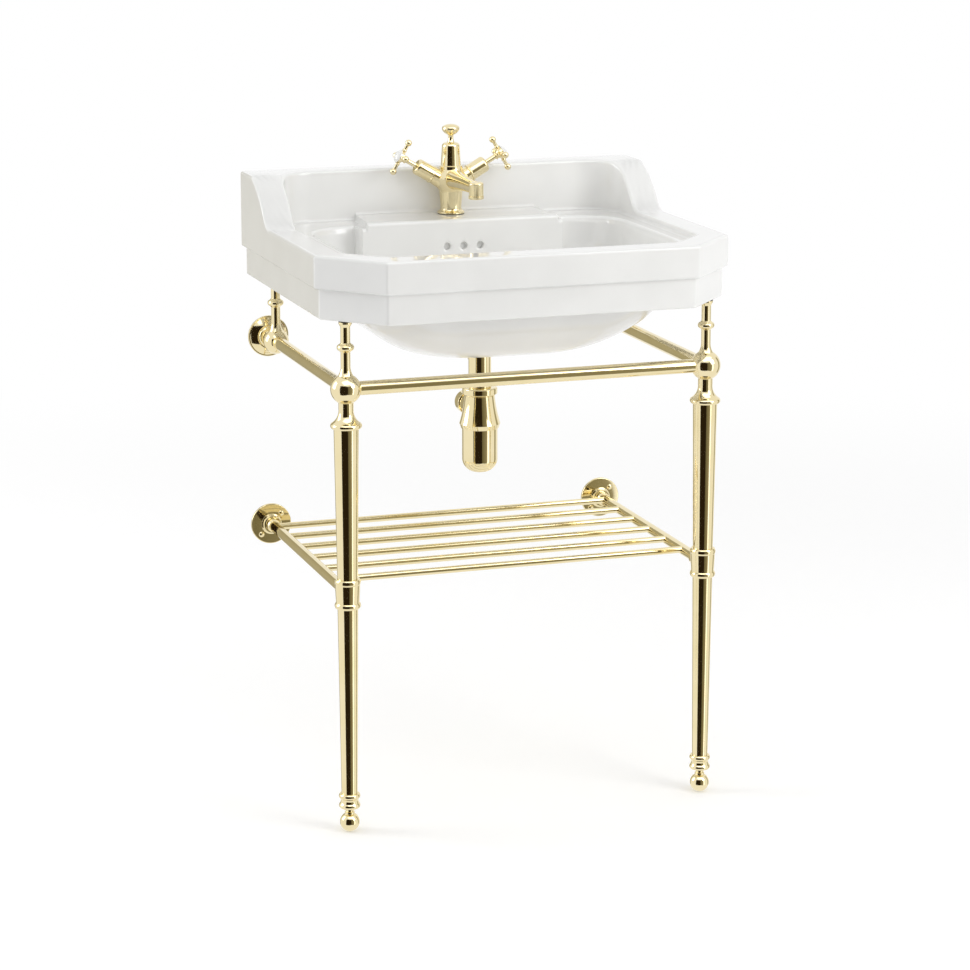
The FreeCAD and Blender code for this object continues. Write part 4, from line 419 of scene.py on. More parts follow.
SLEEVE_BOSS = [(0, 12), (11, 12), (11, 26), (0, 26)]
LEG_LOWER = [(0, 34.5), (13.6, 34.5), (15.2, 38, 13.6, 41.5), (12.6, 45, 13.6, 48.5),
             (15.2, 52, 13.6, 55.5), (11.4, 55.5), (14.4, 325), (14.4, 333), (0, 333)]
FOOT = [(0, 0), (4, 0), (14, 13.4, 7, 25.5), (7, 28.5), (5, 28.5), (5, 57.5), (4, 58.5), (0, 58.5)]


def stem_outline(ball_radius):
    """Stem that leaves its ball in a small flare, with a bead and a flared head under the china.

    It meets the ball at height sqrt(R^2 - r^2) over the ball's centre, for a stem of radius r.
    """
    foot = BALL_Z + math.sqrt(ball_radius ** 2 - STEM ** 2) - 5
    rise = BALL_Z + math.sqrt(ball_radius ** 2 - FLARE ** 2)
    return [(0, foot), (9.6, foot), (FLARE, rise), (7.9, rise + 5.5, STEM, rise + 13), (STEM, 686.5),
            (8.8, 688.5), (12, 693, 8.8, 697.5), (STEM, 699.5), (STEM, 721.5), (9.25, 726.05),
            (9.25, STEM_TOP), (0, STEM_TOP)]


def ball_outline(radius):
    """Half circle from pole to pole in two arcs."""
    d = radius * math.sqrt(0.5)
    return [(0, -radius), (d, -d, radius, 0), (d, d, 0, radius)]


print("a front stem starts at", round(stem_outline(FRONT_RADIUS)[2][1], 1), "mm, on its ball")

# %% [markdown]
# ## Both sides at once
# The stand's left and right are mirror images, and a turned piece is its own mirror image, so one loop over
# the two sides stands each outline left and right. A piece's name ends with its side, as its node's does.

# %% Make both legs
SIDES = (("left", -1), ("right", 1))
TO_WALL, TO_FRONT = (0, 1, 0), (0, -1, 0)
for side, sign in SIDES:
    front = aimed((sign * LEG_X, LEG_Y, 0))
    rear = aimed((sign * LEG_X, REAR_Y, 0))
    boss = turned(SLEEVE_BOSS, aimed((sign * LEG_X, LEG_Y, SHELF_Z), TO_WALL), 48)
    plated(f"leg_ball_piece_{side}", f"leg_ball_{side}", turned(LEG_BALL, front))
    plated(f"leg_upper_tube_{side}", f"leg_upper_{side}", turned(LEG_UPPER, front))
    plated(f"shelf_sleeve_piece_{side}", f"shelf_sleeve_{side}", turned(SLEEVE, front, closed=True), boss)
    plated(f"leg_lower_tube_{side}", f"leg_lower_{side}", turned(LEG_LOWER, front))
    plated(f"ball_foot_{side}", f"levelling_foot_{side}", turned(FOOT, front), body=f"{side}_foot")
    plated(f"front_stem_piece_{side}", f"front_stem_{side}", turned(stem_outline(FRONT_RADIUS), front))
    plated(f"rear_stem_piece_{side}", f"rear_stem_{side}", turned(stem_outline(REAR_RADIUS), rear))
    plated(f"rear_ball_piece_{side}", f"rear_ball_{side}",
           turned(ball_outline(REAR_RADIUS), aimed((sign * LEG_X, REAR_Y, BALL_Z))))
print("legs, stems and balls made for", [side for side, sign in SIDES])

# %% [markdown]
# ## Flanges
# Four round flanges fix the stand to the wall: the upper pair are ogee bells, the lower pair flat plates
# with a half ball and two screws. Their outlines rise from the wall, so each is turned standing up and then
# laid over, with its axis towards the front.

# %% Flanges
WALL_Y = 245
UPPER_FLANGE = [(0, 24), (4, 24), (4, 0), (31, 0), (31, 2), (30, 3), (28.5, 3), (24.85, 5.4, 18.1, 8.5),
                (15.5, 8.5), (16.5, 10.3, 15.5, 12), (14, 13), (11, 13), (8.8, 14.2, 8, 17), (8, 35.7),
                (0, 35.7)]
LOWER_FLANGE = [(0, 0), (31, 0), (31, 2.5), (30.56, 3.56, 29.5, 4), (15.5, 4), (15.5, 6), (13.5, 7),
                (13.5, 9), (12.5, 10), (9.1, 10), (10.5, 15.25, 8.03, 22), (0, 22)]
for side, sign in SIDES:
    plated(f"bell_flange_{side}", f"upper_wall_flange_{side}",
           turned(UPPER_FLANGE, aimed((sign * LEG_X, WALL_Y, BALL_Z), TO_FRONT)))
    plated(f"plate_flange_{side}", f"lower_wall_flange_{side}",
           turned(LOWER_FLANGE, aimed((sign * LEG_X, WALL_Y, SHELF_Z), TO_FRONT)))
print("flanges made,", 2 * UPPER_FLANGE[3][0], "mm across")

# %% [markdown]
# ## Rails
# The towel rails, the shelf's beams and its six slats are plain polished tube, cut square. A tube is one more
# turned outline, a rectangle, and each rail ends inside the ball, sleeve, flange or beam that holds it.

# %% Rails
TOWEL_RAIL, BEAM, SLAT = 9.8, 8, 5        # radii
FRONT_END = 252.8                         # the front rail's ends, right and left
SIDE_ENDS = (-161.8, 187.7)               # the side rails' ends, front and rear
BEAM_ENDS = (228.7, -156.3)
SLAT_END, SLAT_Z = 263, 348
SLAT_YS = 213 - 64 * np.arange(6)


def rail(radius, start, end):
    """A tube from start to end with filed ends."""
    start, end = np.array(start, float), np.array(end, float)
    long = np.linalg.norm(end - start)
    outline = [(0, 0), (radius, 0), (radius, long), (0, long)]
    return turned(outline, aimed(start, (end - start) / long), 48, 0.5)


plated("front_towel_rail", "front_rail",
       rail(TOWEL_RAIL, (-FRONT_END, LEG_Y, BALL_Z), (FRONT_END, LEG_Y, BALL_Z)))
for side, sign in SIDES:
    x = sign * LEG_X
    plated(f"side_towel_rail_{side}", f"side_rail_{side}",
           rail(TOWEL_RAIL, *[(x, y, BALL_Z) for y in SIDE_ENDS]))
    plated(f"shelf_beam_{side}", f"shelf_side_rail_{side}",
           rail(BEAM, *[(x, y, SHELF_Z) for y in BEAM_ENDS]))
plated("shelf_slats", "shelf_rails",
       *[rail(SLAT, (-SLAT_END, y, SLAT_Z), (SLAT_END, y, SLAT_Z)) for y in SLAT_YS])
print("rails made:", len(SLAT_YS), "slats")

# %% [markdown]
# ## The mixer
# The tap body is one casting: a waisted column that swells into a shoulder, two arms that rise at 30
# degrees, a slim tower above for the lift rod, and a straight tapered spout that ends in a small drum with
# its mouth turned down. Each is a turned form, and they run into one another with the crisp lines that a
# polisher leaves, so they are laid into one piece as they are.

# %% Mixer body
TAP_Y = 177
MIXER_Z = 818                  # the top of the gasket under the mixer
VALVE_Z = MIXER_Z + 41         # where the arms' axes meet the column's
SPOUT_Z = MIXER_Z + 51.5
SPOUT_LENGTH = 119
AXIS_Y = TAP_Y - SPOUT_LENGTH  # the drum and the aerator share this axis
LEAN = math.cos(math.radians(30))
ARM = {"hot": (-LEAN, 0, 0.5), "cold": (LEAN, 0, 0.5)}
COLUMN = [(0, -50), (14, -50), (14, 0), (20.5, 0), (20.5, 1.8), (19, 3), (16.8, 4.6, 15.6, 8),
          (16.3, 19.8, 17.6, 33), (22, 41, 25, 50), (25.7, 54, 23.6, 57.5), (19, 62, 16.8, 69), (16.6, 70.4),
          (15, 71.2), (13.3, 98.5), (12.1, 102.9, 8.4, 105), (0, 105)]
ARM_CONE = [(0, 0), (14.5, 0), (12, 33), (0, 33)]
SPOUT = [(0, 0), (15.5, 0), (14.6, 24), (11.2, 62, 9.6, SPOUT_LENGTH), (0, SPOUT_LENGTH)]
DRUM = [(0, -9), (7.7, -9), (7.7, -11), (10.7, -11), (10.7, 5.2), (10.0, 7.9, 7.4, 8.8), (3.7, 9.4, 0, 9.6)]
AERATOR = [(6.7, 36), (10.4, 36), (11.2, 36.8), (11.2, 40.5), (0.5, 40.5), (0.5, 39), (6.7, 39)]
casting = [turned(COLUMN, aimed((0, TAP_Y, MIXER_Z)), 96)]
casting += [turned(ARM_CONE, aimed((0, TAP_Y, VALVE_Z), arm), 72) for arm in ARM.values()]
casting.append(turned(SPOUT, aimed((0, TAP_Y, SPOUT_Z), TO_FRONT), 64))
casting.append(turned(DRUM, aimed((0, AXIS_Y, SPOUT_Z)), 64))
plated("mixer_casting", "mixer_body", *casting)
plated("aerator_ring", "spout_aerator", turned(AERATOR, aimed((0, AXIS_Y, MIXER_Z)), 64, closed=True))
print("mixer cast from", len(casting), "turned forms")

# %% [markdown]
# ## Valves and cross handles
# A round cover hides each ceramic valve. Its spindle carries a cross handle: a flared hub with four
# arms, each with a small bead and a ball, and a domed china button let into the top.

# %% Valves and handles
COVER = [(9, 33), (12.4, 33), (13.4, 34.5, 12.4, 36), (12.2, 36), (12.2, 58.5), (10.9, 61.7, 7.7, 63),
         (3.8, 63), (3.8, 55), (9, 55)]
HUB = [(3.7, 80), (4.4, 80), (5.8, 81.3, 4.6, 82.6), (5.8, 85, 9.6, 88), (9.6, 93), (0.5, 93), (0.5, 86.5),
       (3.7, 86.5)]
HUB_MIDDLE = 89.5    # where the four arms cross, along the valve's axis
HANDLE_ARM = [(0, 0), (2.6, 0), (2.6, 8.8), (3.4, 11, 2.6, 13.2), (2.6, 19.73), (5, 24, 0, 29)]
BUTTON = [(0, 93), (10.4, 93), (10.4, 94), (5.2, 98.4, 0, 99.5)]
for side, arm in ARM.items():
    valve = aimed((0, TAP_Y, VALVE_Z), arm)
    axis = Vector(arm)
    centre = Vector((0, TAP_Y, VALVE_Z)) + axis * HUB_MIDDLE
    across = [Vector(TO_WALL), Vector(TO_WALL).cross(axis)]
    plated(f"valve_cover_turning_{side}", f"valve_cover_{side}", turned(COVER, valve, closed=True))
    arms = [turned(HANDLE_ARM, aimed(centre, way * sign), 32, 0.1)
            for way in across for sign in (-1, 1)]
    plated(f"cross_handle_casting_{side}", f"cross_handle_{side}",
           turned(HUB, valve, closed=True), *arms, body=f"{side}_handle")
    make_piece(f"china_button_{side}", [turned(BUTTON, valve, 64, 0.3)], "white_china",
               f"{side}_handle", f"index_button_{side}")
print("handles made, with", len(arms), "arms each")

# %% [markdown]
# ## The lift knob
# The knob over the tower works the pop-up plug. It is turned with a socket for its rod, and it rides on the
# body that lifts.

# %% Knob
KNOB_Z = 923.3
KNOB = [(2.6, 0), (5.7, 0), (3.9, 6.4, 4.5, 11), (9.4, 13.8, 12.4, 17.6), (13.2, 20.9, 11.8, 23.9),
        (6.6, 26.3, 0.4, 27), (0.4, 10.2), (2.6, 10.2)]
knob = turned(KNOB, aimed((0, TAP_Y, KNOB_Z)), 64, closed=True)
plated("lift_knob_turning", "lift_knob", knob, body="lift")
print("knob's top at", KNOB_Z + 27, "mm")

# %% [markdown]
# ## Waste and trap
# Under the basin hangs the waste tail with its side port, and on it a bottle trap: a flared skirt over a
# round-bottomed cup, with a domed nut at each joint. All but the port and the outlet turn round one
# upright axis, so their outlines give heights over the floor.

# %% Waste and trap
WASTE_Y = 42
PORT_Z = 619      # the pivot rod's port
OUTLET_Z = 545    # the trap's outlet
axis_up = aimed((0, WASTE_Y, 0))
to_outlet = aimed((0, WASTE_Y, OUTLET_Z), TO_WALL)
WASTE = [(14.5, 565), (16.75, 565), (16.75, 663.5), (32, 663.5), (31.6, 665.5, 30, 666.5), (25, 666.5),
         (16.5, 664.5), (14.5, 663)]
PORT = [(5.1, 14), (7.5, 14), (7.5, 25.7), (5.1, 25.7)]
BACK_NUT = [(16.75, 629.5), (21.8, 629.5), (23, 630.7), (23, 634.3), (21.8, 635.5), (16.75, 635.5)]
INLET_NUT = [(21, 569), (25, 569), (26, 570), (26, 576.5), (25.3, 578.3, 23.5, 579), (16.8, 579),
             (16.8, 577), (21, 577)]
SKIRT = [(25.75, 518), (27.97, 518), (30.3, 525), (25, 546, 22, 567), (21, 567), (21, 575.4), (16.8, 575.4),
         (16.8, 562), (14.1, 562), (14.1, 559.8), (23.3, 534), (24.3, 529), (24.3, 519.6), (25.75, 519.6)]
OUTLET = [(14.1, 19.8), (16, 19.8), (16, 64), (14.1, 64)]
CUP = [(0, 452), (6.3, 452), (20.4, 457.9, 26.3, 472), (26.3, 518), (24.3, 518), (24.3, 528), (22.1, 528),
       (22.1, 515.8), (24.1, 513.6), (24.1, 472), (18.9, 459.4, 6.3, 454.2), (0, 454.2)]
OUTLET_NUT = [(16, 48), (17.2, 48), (18, 48.8), (18, 62), (17.3, 65.8, 15.3, 68), (14.13, 68), (14.13, 64),
              (16, 64)]
plated("waste_tube", "waste_body", turned(WASTE, axis_up, closed=True),
       turned(PORT, aimed((0, WASTE_Y, PORT_Z), TO_WALL), 48, closed=True))
plated("waste_ring_nut", "waste_back_nut", turned(BACK_NUT, axis_up, closed=True))
plated("trap_inlet_ring", "trap_inlet_nut", turned(INLET_NUT, axis_up, closed=True))
plated("trap_skirt", "trap_body", turned(SKIRT, axis_up, closed=True),
       turned(OUTLET, to_outlet, closed=True))
plated("trap_bottle", "trap_cup", turned(CUP, axis_up))
plated("trap_outlet_ring", "trap_outlet_nut", turned(OUTLET_NUT, to_outlet, closed=True))
print("trap made, from", CUP[0][1], "to", INLET_NUT[5][1], "mm")

# %% [markdown]
# ## Washers, tails, screws and the plug
# What is left is small and partly hidden: spindles, rubber rings, copper tails, wall screws and the plug.
# Each is one turned outline set down at one or more places, in the finish that the record gives its node.

# %% Small turned parts
SCREW_OFFSET = 15.556    # a screw stands 22 mm from its flange's middle, on the slant
TAIL_X, TAIL_Z = 8, 693  # the copper tails: right and left of the mixer's axis, and their lower ends
WASHER_Z = 792           # the mixer's washer reaches from here up to the china at 795


def ring_outline(bore, radius, low, high):
    """A plain ring's cross-section."""
    return [(bore, low), (radius, low), (radius, high), (bore, high)]


def turned_piece(name, node, outline, places, along=(0, 0, 1), body=STAND):
    """Copies of one turned part at several places, in the slot that the record gives its node."""
    hollow = outline[0][0] > 0
    turnings = [turned(outline, aimed(place, along), 48, 0.2, hollow) for place in places]
    return make_piece(name, turnings, SLOT_OF[node], body, node)


for side, arm in ARM.items():
    turned_piece(f"spindle_turning_{side}", f"spindle_{side}", ring_outline(0, 3.7, 38.5, 86.5),
                 [(0, TAP_Y, VALVE_Z)], arm, f"{side}_handle")
turned_piece("gasket_ring", "mixer_gasket", ring_outline(14, 20, 0, 1), [(0, TAP_Y, MIXER_Z - 1)])
turned_piece("washer_under_mixer", "mixer_washer", ring_outline(14, 22, 0, 3), [(0, TAP_Y, WASHER_Z)])
turned_piece("copper_tails", "inlet_tails", ring_outline(3.2, 4, 0, 85),
             [(x, TAP_Y, TAIL_Z) for x in (-TAIL_X, TAIL_X)])
turned_piece("stem_washers", "stem_pads", ring_outline(0, 9.25, 0, 1.5),
             [(x, y, STEM_TOP) for x in (-LEG_X, LEG_X) for y in (LEG_Y, REAR_Y)])
turned_piece("round_head_screws", "wall_screws", [(0, 0), (2.6, 0), (2.6, 4), (4.6, 4), (2.3, 5.73, 0, 6.2)],
             [(x + slant, WALL_Y, SHELF_Z + slant)
              for x in (-LEG_X, LEG_X) for slant in (-SCREW_OFFSET, SCREW_OFFSET)], TO_FRONT)
SEALS = ((16.75, 31, 662, 663.5), (16.75, 22.5, 635.5, 638))
seal_rings = [turned(ring_outline(*sizes), axis_up, 72, 0.2, True) for sizes in SEALS]
make_piece("waste_seal_rings", seal_rings, SLOT_OF["waste_washers"], STAND, "waste_washers")
PLUG = [(0, 620.87), (2.12, 621.75, 3, 623.87), (3, 671), (21, 671), (24, 673), (12, 674.5, 0, 675)]
turned_piece("plug_turning", "waste_plug", PLUG, [(0, WASTE_Y, 0)], body="plug")
print("small parts made")

# %% [markdown]
# ## The basin: one skin of stacked loops
# Real basins are slip-cast: liquid clay sets against a plaster mould, so the piece is one skin with soft
# edges everywhere. That skin is built the same way here, as a stack of closed loops that climbs the outside,
# turns over the lip, runs down the bowl, out through the waste hole and back under the bowl to where it
# began. Every loop has the same number of points, so the loops join into one closed grid. A loop is a
# rectangle with cut corners, and each cut may be rounded until it is a plain round corner.

# %% Loop of the basin's plan
ARC_COUNT = 60                                   # points on each corner before they are spread anew
COUNTS = (22, 24, 10, 18, 96, 8, 12, 8, 36)      # steps between the marks on the right half
BLOCK_MARKS = (138, 162)                         # either side of where the platform's block ends
ROUND_CUT = 2 - math.sqrt(2)                     # a cut this many radii long rounds to a quarter circle


def fillet_arc(before, corner, after, radius):
    """Arc tangent to both sides of a corner: it starts radius * tan(half the turn) before the corner."""
    back = (before - corner) / np.linalg.norm(before - corner)
    ahead = (after - corner) / np.linalg.norm(after - corner)
    turn = math.pi - math.acos(np.clip(back @ ahead, -1, 1))
    middle = (back + ahead) / np.linalg.norm(back + ahead)
    centre = corner + middle * radius / math.cos(turn / 2)
    side = np.array([-middle[1], middle[0]])
    if side @ ahead < 0:
        side = -side
    angle = np.linspace(-turn / 2, turn / 2, ARC_COUNT)[:, None]
    return centre - radius * np.cos(angle) * middle + radius * np.sin(angle) * side


def plan_loop(half, rear, front, rear_cut, rear_round, cut_x, cut_y, cut_round):
    """Points of one loop, from the middle of the rear edge round to the right and back.

    The right half is a path of straights and arcs. Ten marks on it, at the same features on every loop,
    are joined by a fixed number of equal steps, and the left half is its mirror image.
    """
    corners = np.array([(0, rear), (half - rear_cut, rear), (half, rear - rear_cut),
                        (half, front + cut_y), (half - cut_x, front), (0, front)], float)
    rounds = (rear_round, rear_round, cut_round, cut_round)
    arcs = [fillet_arc(corners[i], corners[i + 1], corners[i + 2], rounds[i]) for i in range(4)]
    path = np.vstack([corners[:1]] + arcs + [corners[-1:]])
    run = np.concatenate([[0], np.cumsum(np.linalg.norm(np.diff(path, axis=0), axis=1))])
    ends = [(run[1 + ARC_COUNT * i], run[ARC_COUNT * (i + 1)]) for i in range(4)]
    rear_half = slice(0, 1 + 2 * ARC_COUNT)
    scale = min(1, half / 180)    # small loops draw the block's marks in with them
    marks = [0] + [np.interp(x * scale, path[rear_half, 0], run[rear_half]) for x in BLOCK_MARKS]
    marks.append(max(ends[0][0], marks[2] + 0.15 * (ends[1][1] - marks[2])))
    # Where a cut has no straight left, its two marks step back onto its arcs, so no span is empty.
    straight = np.clip((ends[3][0] - ends[2][1]) / 20, 0, 1)
    share = 0.6 + 0.4 * straight
    marks += [ends[1][1], ends[2][0], ends[2][0] + share * (ends[2][1] - ends[2][0]),
              ends[3][1] - share * (ends[3][1] - ends[3][0]), ends[3][1], run[-1]]
    steps = [np.linspace(a, b, n, endpoint=False) for a, b, n in zip(marks, marks[1:], COUNTS)]
    run_at = np.concatenate(steps + [[run[-1]]])
    right = np.column_stack([np.interp(run_at, run, path[:, 0]), np.interp(run_at, run, path[:, 1])])
    return np.vstack([right[:-1], (right * (-1, 1))[:0:-1]])


def round_loop(half, rear, front, radius):
    """A rectangle with round corners."""
    cut = radius * ROUND_CUT
    return plan_loop(half, rear, front, cut, radius, cut, cut, radius)


UNDER = plan_loop(285.6, 233, -225.6, 78, 12, 125, 125, 12)    # the hollow inside the apron
print("points in a loop:", len(UNDER))

# %% [markdown]
# ## Outline and lip line
# Seen from above, the basin is a rectangle against the wall with its two front corners cut off. Each loop
# of the outside is that outline drawn in a little, and its cuts get shorter as it shrinks, so that their
# faces draw in by the same amount. The inside of the lip is a second outline, grown in the same way.

# %% Outer and inner loops
HALF_WIDTH = 305
CUT_X, CUT_Y = 78, 85               # what a cut takes off the front and off the side
SHRINK_X, SHRINK_Y = 0.56, 0.611    # what those lose for each mm that the outline draws in


def outer_loop(inset, rear_inset=0.0):
    """The cut-corner outline drawn in by an inset."""
    return plan_loop(HALF_WIDTH - inset, WALL_Y - rear_inset, inset - WALL_Y, 3 * ROUND_CUT, 3,
                     CUT_X - SHRINK_X * inset, CUT_Y - SHRINK_Y * inset, 6)


def inner_loop(grow):
    """The line where the raised lip drops to the deck, grown outwards."""
    return plan_loop(262 + grow, 205 + grow, -202 - grow, (55 + grow) * ROUND_CUT, 55 + grow,
                     53.9 + SHRINK_X * grow, 58.7 + SHRINK_Y * grow, 10)


print("outline:", 2 * HALF_WIDTH, "by", 2 * WALL_Y, "mm")

# %% [markdown]
# ## Heights of the lip, the wings and the tap platform
# The lip runs level at 819 mm, then sweeps up in an S to the back wall at 885 mm. The tap platform stands
# 8 mm above the deck, and its block cuts the bowl's rear wall off square.

# %% Height functions
WING_FOOT, WING_WAIST, WING_TOP = (80, 819), (109.4, 832.2), (178, 885)    # (y, height) along the S
wing_line = np.vstack([[WING_FOOT], arc_points(WING_FOOT, (97.64, 822.96), WING_WAIST),
                       arc_points(WING_WAIST, (135.86, 859.92), WING_TOP)])
PLATFORM_LIFT, PLATFORM_HALF = 8, 148    # its height over the deck, and half its width at the front
BLOCK_FACE, BLOCK_HALF = 115, 157        # the block under it: its front, and half its width


def lip_height(y):
    """Height of the lip at a depth y: the wing's line, averaged over 8 mm to soften its corners."""
    shifts = np.linspace(-4, 4, 9)[:, None]
    return np.interp(y + shifts, wing_line[:, 0], wing_line[:, 1]).mean(axis=0)


def soft_step(value, width):
    """0 below -width, 1 above +width, and 3t^2 - 2t^3 between."""
    t = np.clip((value + width) / (2 * width), 0, 1)
    return t * t * (3 - 2 * t)


def platform_height(loop):
    """The platform's lift, within sides that slant in by 7 mm over 90 mm, and behind its front."""
    side = PLATFORM_HALF - 7 * (loop[:, 1] - BLOCK_FACE) / 90
    return PLATFORM_LIFT * soft_step(side - np.abs(loop[:, 0]), 1.3) * (loop[:, 1] > 100)


def squared_off(loop, face, edge):
    """Pulls the rear of a loop forward to a flat face, between the edges at +-x."""
    inside = soft_step(edge - np.abs(loop[:, 0]), 1.5)
    pull = inside * np.maximum(loop[:, 1] - face, 0)
    return loop - np.column_stack([np.zeros(len(loop)), pull])


def blend(first, last, share):
    """A mixture of two loops or heights: the first at share 0, the last at 1."""
    return (1 - share) * first + share * last


def quarter(count=6):
    """Sine and cosine over a quarter turn, for rounding an edge."""
    angle = np.linspace(0, math.pi / 2, count)
    return np.column_stack([np.sin(angle), np.cos(angle)])


print("lip at the front, halfway up the wing and at the wall:",
      lip_height(np.array([-200.0, 135.0, 240.0])).round(1))

# %% [markdown]
# ## The apron
# The skin starts inside the hollow, turns under the apron's foot and climbs its face. A cove leads to the
# upstand, which overhangs the apron a little. Every edge is a quarter circle of its own radius, since glaze
# draws back from a sharp edge and leaves it thin.

# %% Apron and upstand's foot
FOOT_Z, FOOT_ROUND = 730, 2.5    # the apron's lower edge
APRON_INSET = 7.4                # the apron lies this far inside the upstand
STEP_Z, STEP_ROUND = 773, 2.8    # the upstand's lower edge
COVE = 2.2                       # under the upstand
basin_rows = []


def lay(loop, height):
    """Adds one loop of the skin, at one height or a height for each point."""
    basin_rows.append(np.column_stack([loop, np.broadcast_to(height, len(loop))]))


for height in (794, 790, 760, 734, 732):
    lay(UNDER, height)
for share in (0.12, 0.2):
    lay(blend(UNDER, outer_loop(APRON_INSET), share), FOOT_Z)
for sine, cosine in quarter():
    lay(outer_loop(APRON_INSET + FOOT_ROUND * (1 - sine)), FOOT_Z + FOOT_ROUND * (1 - cosine))
for height in (733.2, 752, 770):
    lay(outer_loop(APRON_INSET), height)
for sine, cosine in quarter(5):
    lay(outer_loop(APRON_INSET - COVE * (1 - cosine)), STEP_Z - COVE + COVE * sine)
for sine, cosine in quarter():
    lay(outer_loop(STEP_ROUND * (1 - sine)), STEP_Z + STEP_ROUND * (1 - cosine))
print("rows of the apron:", len(basin_rows))

# %% [markdown]
# ## Upstand, lip and deck
# The upstand's face is straight, and its top follows the lip's height, so each point of a loop gets its own
# height. The lip rolls over, drops inside to the deck, and the deck runs level to the bowl's mouth. Only the
# tap platform lifts it, by a step on the way.

# %% Upstand, lip and deck
LIP_ROUND, LIP_ROLL = 4.5, 5              # the lip's outer and inner edges
DECK_Z, DECK_COVE = 809, 4.5              # the deck, and the cove round it
BOWL_EDGE = 6
MOUTH = np.array((238, 148, -185, 72))    # half width, rear, front and corner radius of the bowl's mouth
OUTWARDS = np.array((1, 1, -1, 1))        # how those four change as a loop grows


def mouth_loop(grow):
    """The bowl's mouth grown outwards, with its rear cut off square by the platform's block."""
    return squared_off(round_loop(*(MOUTH + grow * OUTWARDS)), BLOCK_FACE + grow, BLOCK_HALF)


side_loop = outer_loop(0)
for share in (0.015, 0.3, 0.65, 0.985):
    lay(side_loop, blend(STEP_Z + STEP_ROUND, lip_height(side_loop[:, 1]) - LIP_ROUND, share))
for sine, cosine in quarter(7):
    loop = outer_loop(LIP_ROUND * (1 - cosine), LIP_ROUND * (1 - cosine))
    lay(loop, lip_height(loop[:, 1]) - LIP_ROUND * (1 - sine))
lip_outside, lip_inside = outer_loop(LIP_ROUND, LIP_ROUND), inner_loop(LIP_ROLL)
for share in (0.02, 0.35, 0.65, 0.98):
    loop = blend(lip_outside, lip_inside, share)
    lay(loop, lip_height(loop[:, 1]))
for sine, cosine in quarter(7):
    loop = inner_loop(LIP_ROLL * (1 - sine))
    lay(loop, lip_height(loop[:, 1]) - LIP_ROLL * (1 - cosine))
face_loop = inner_loop(0)
face_top = lip_height(face_loop[:, 1]) - LIP_ROLL
face_foot = DECK_Z + DECK_COVE + platform_height(inner_loop(-4.6))
for share in (0.04, 0.5, 0.96):
    lay(face_loop, blend(face_top, face_foot, share))
for sine, cosine in quarter():
    loop = inner_loop(-DECK_COVE * (1 - cosine))
    lay(loop, DECK_Z + platform_height(loop) + DECK_COVE * (1 - sine))
deck_edge, bowl_rim = inner_loop(-4.7), mouth_loop(BOWL_EDGE)
for share in (0.03, 0.2, 0.4, 0.6, 0.8, 0.97):
    loop = blend(deck_edge, bowl_rim, share)
    lay(loop, DECK_Z + platform_height(loop))
print("rows so far:", len(basin_rows))

# %% [markdown]
# ## Bowl and waste hole
# The bowl's wall is a smooth curve through four sections, worked out as a cubic with the right slope at
# each, and it lands level on the floor. From there the loops turn into circles round the waste hole, go down
# through it, and come out round the boss that the waste is clamped to.

# %% Bowl and waste hole
FLOOR_Z, UNDER_Z = 662, 650                # the bowl's floor, and the china's underside below it
HOLE, HOLE_ROUND = 18, 1.5                 # the waste hole's radius, and its rounded mouth
MARKS = np.array([0, 0.275, 0.572, 1.0])   # where the four sections lie on the way down
# Each section is its height, half width, rear, front and corner radius, and a slope is their change.
SECTIONS = np.array([(804, 237.6, 147.6, -184.6, 72), (747.3, 224.9, 139, -174.2, 75.6),
                     (691.4, 185.6, 124.1, -148.3, 75.6), (FLOOR_Z, 92, 95, -77, 64.8)])
SLOPES = np.array([(-215, -18, -14, 16, 10), (-200, -95, -43, 64, 6), (-150, -190, -60, 135, -8),
                   (0, -235, -75, 190, -30)], float)
DRAIN = ((HOLE, 660), (HOLE, 638.5), (18.6, 638), (21.8, 638), (22.6, 638.5), (23.2, 639.2), (30.4, 646.4),
         (31.4, 647.6), (32.6, 649), (34.6, 649.8), (37, UNDER_Z))    # the hole and the boss round it


def bowl_section(share, sections=SECTIONS):
    """Height, half width, rear, front and corner radius: a cubic between neighbouring sections whose
    ends take the sections' values and slopes."""
    i = min(int(np.searchsorted(MARKS, share, side="right")) - 1, 2)
    span = MARKS[i + 1] - MARKS[i]
    t = (share - MARKS[i]) / span
    return ((2 * t**3 - 3 * t**2 + 1) * sections[i] + (t**3 - 2 * t**2 + t) * span * SLOPES[i]
            + (3 * t**2 - 2 * t**3) * sections[i + 1] + (t**3 - t**2) * span * SLOPES[i + 1])


def disc_loop(loop, radius):
    """A circle round the waste, each point in the same direction as the loop's own point."""
    away = loop - (0, WASTE_Y)
    return np.array([0, WASTE_Y]) + radius * away / np.linalg.norm(away, axis=1)[:, None]


edge_lift = platform_height(squared_off(round_loop(*MOUTH), BLOCK_FACE + 0.5, BLOCK_HALF))
for sine, cosine in quarter(7):
    lay(mouth_loop(BOWL_EDGE * (1 - sine)), DECK_Z + edge_lift - BOWL_EDGE * (1 - cosine))
for share in np.concatenate([[0.01, 0.03, 0.06], np.linspace(0.1, 1, 26)]):
    height, *plan = bowl_section(share)
    lay(squared_off(round_loop(*plan), BLOCK_FACE, BLOCK_HALF), height)
floor_loop = round_loop(*SECTIONS[3][1:])
for share in (0.1, 0.3, 0.6, 0.9, 0.98):
    lay(blend(floor_loop, disc_loop(floor_loop, HOLE + HOLE_ROUND), share), FLOOR_Z)
for sine, cosine in quarter(5):
    lay(disc_loop(floor_loop, HOLE + HOLE_ROUND - HOLE_ROUND * sine), FLOOR_Z - HOLE_ROUND * (1 - cosine))
for radius, height in DRAIN:
    lay(disc_loop(floor_loop, radius), height)
print("rows down to the boss:", len(basin_rows))

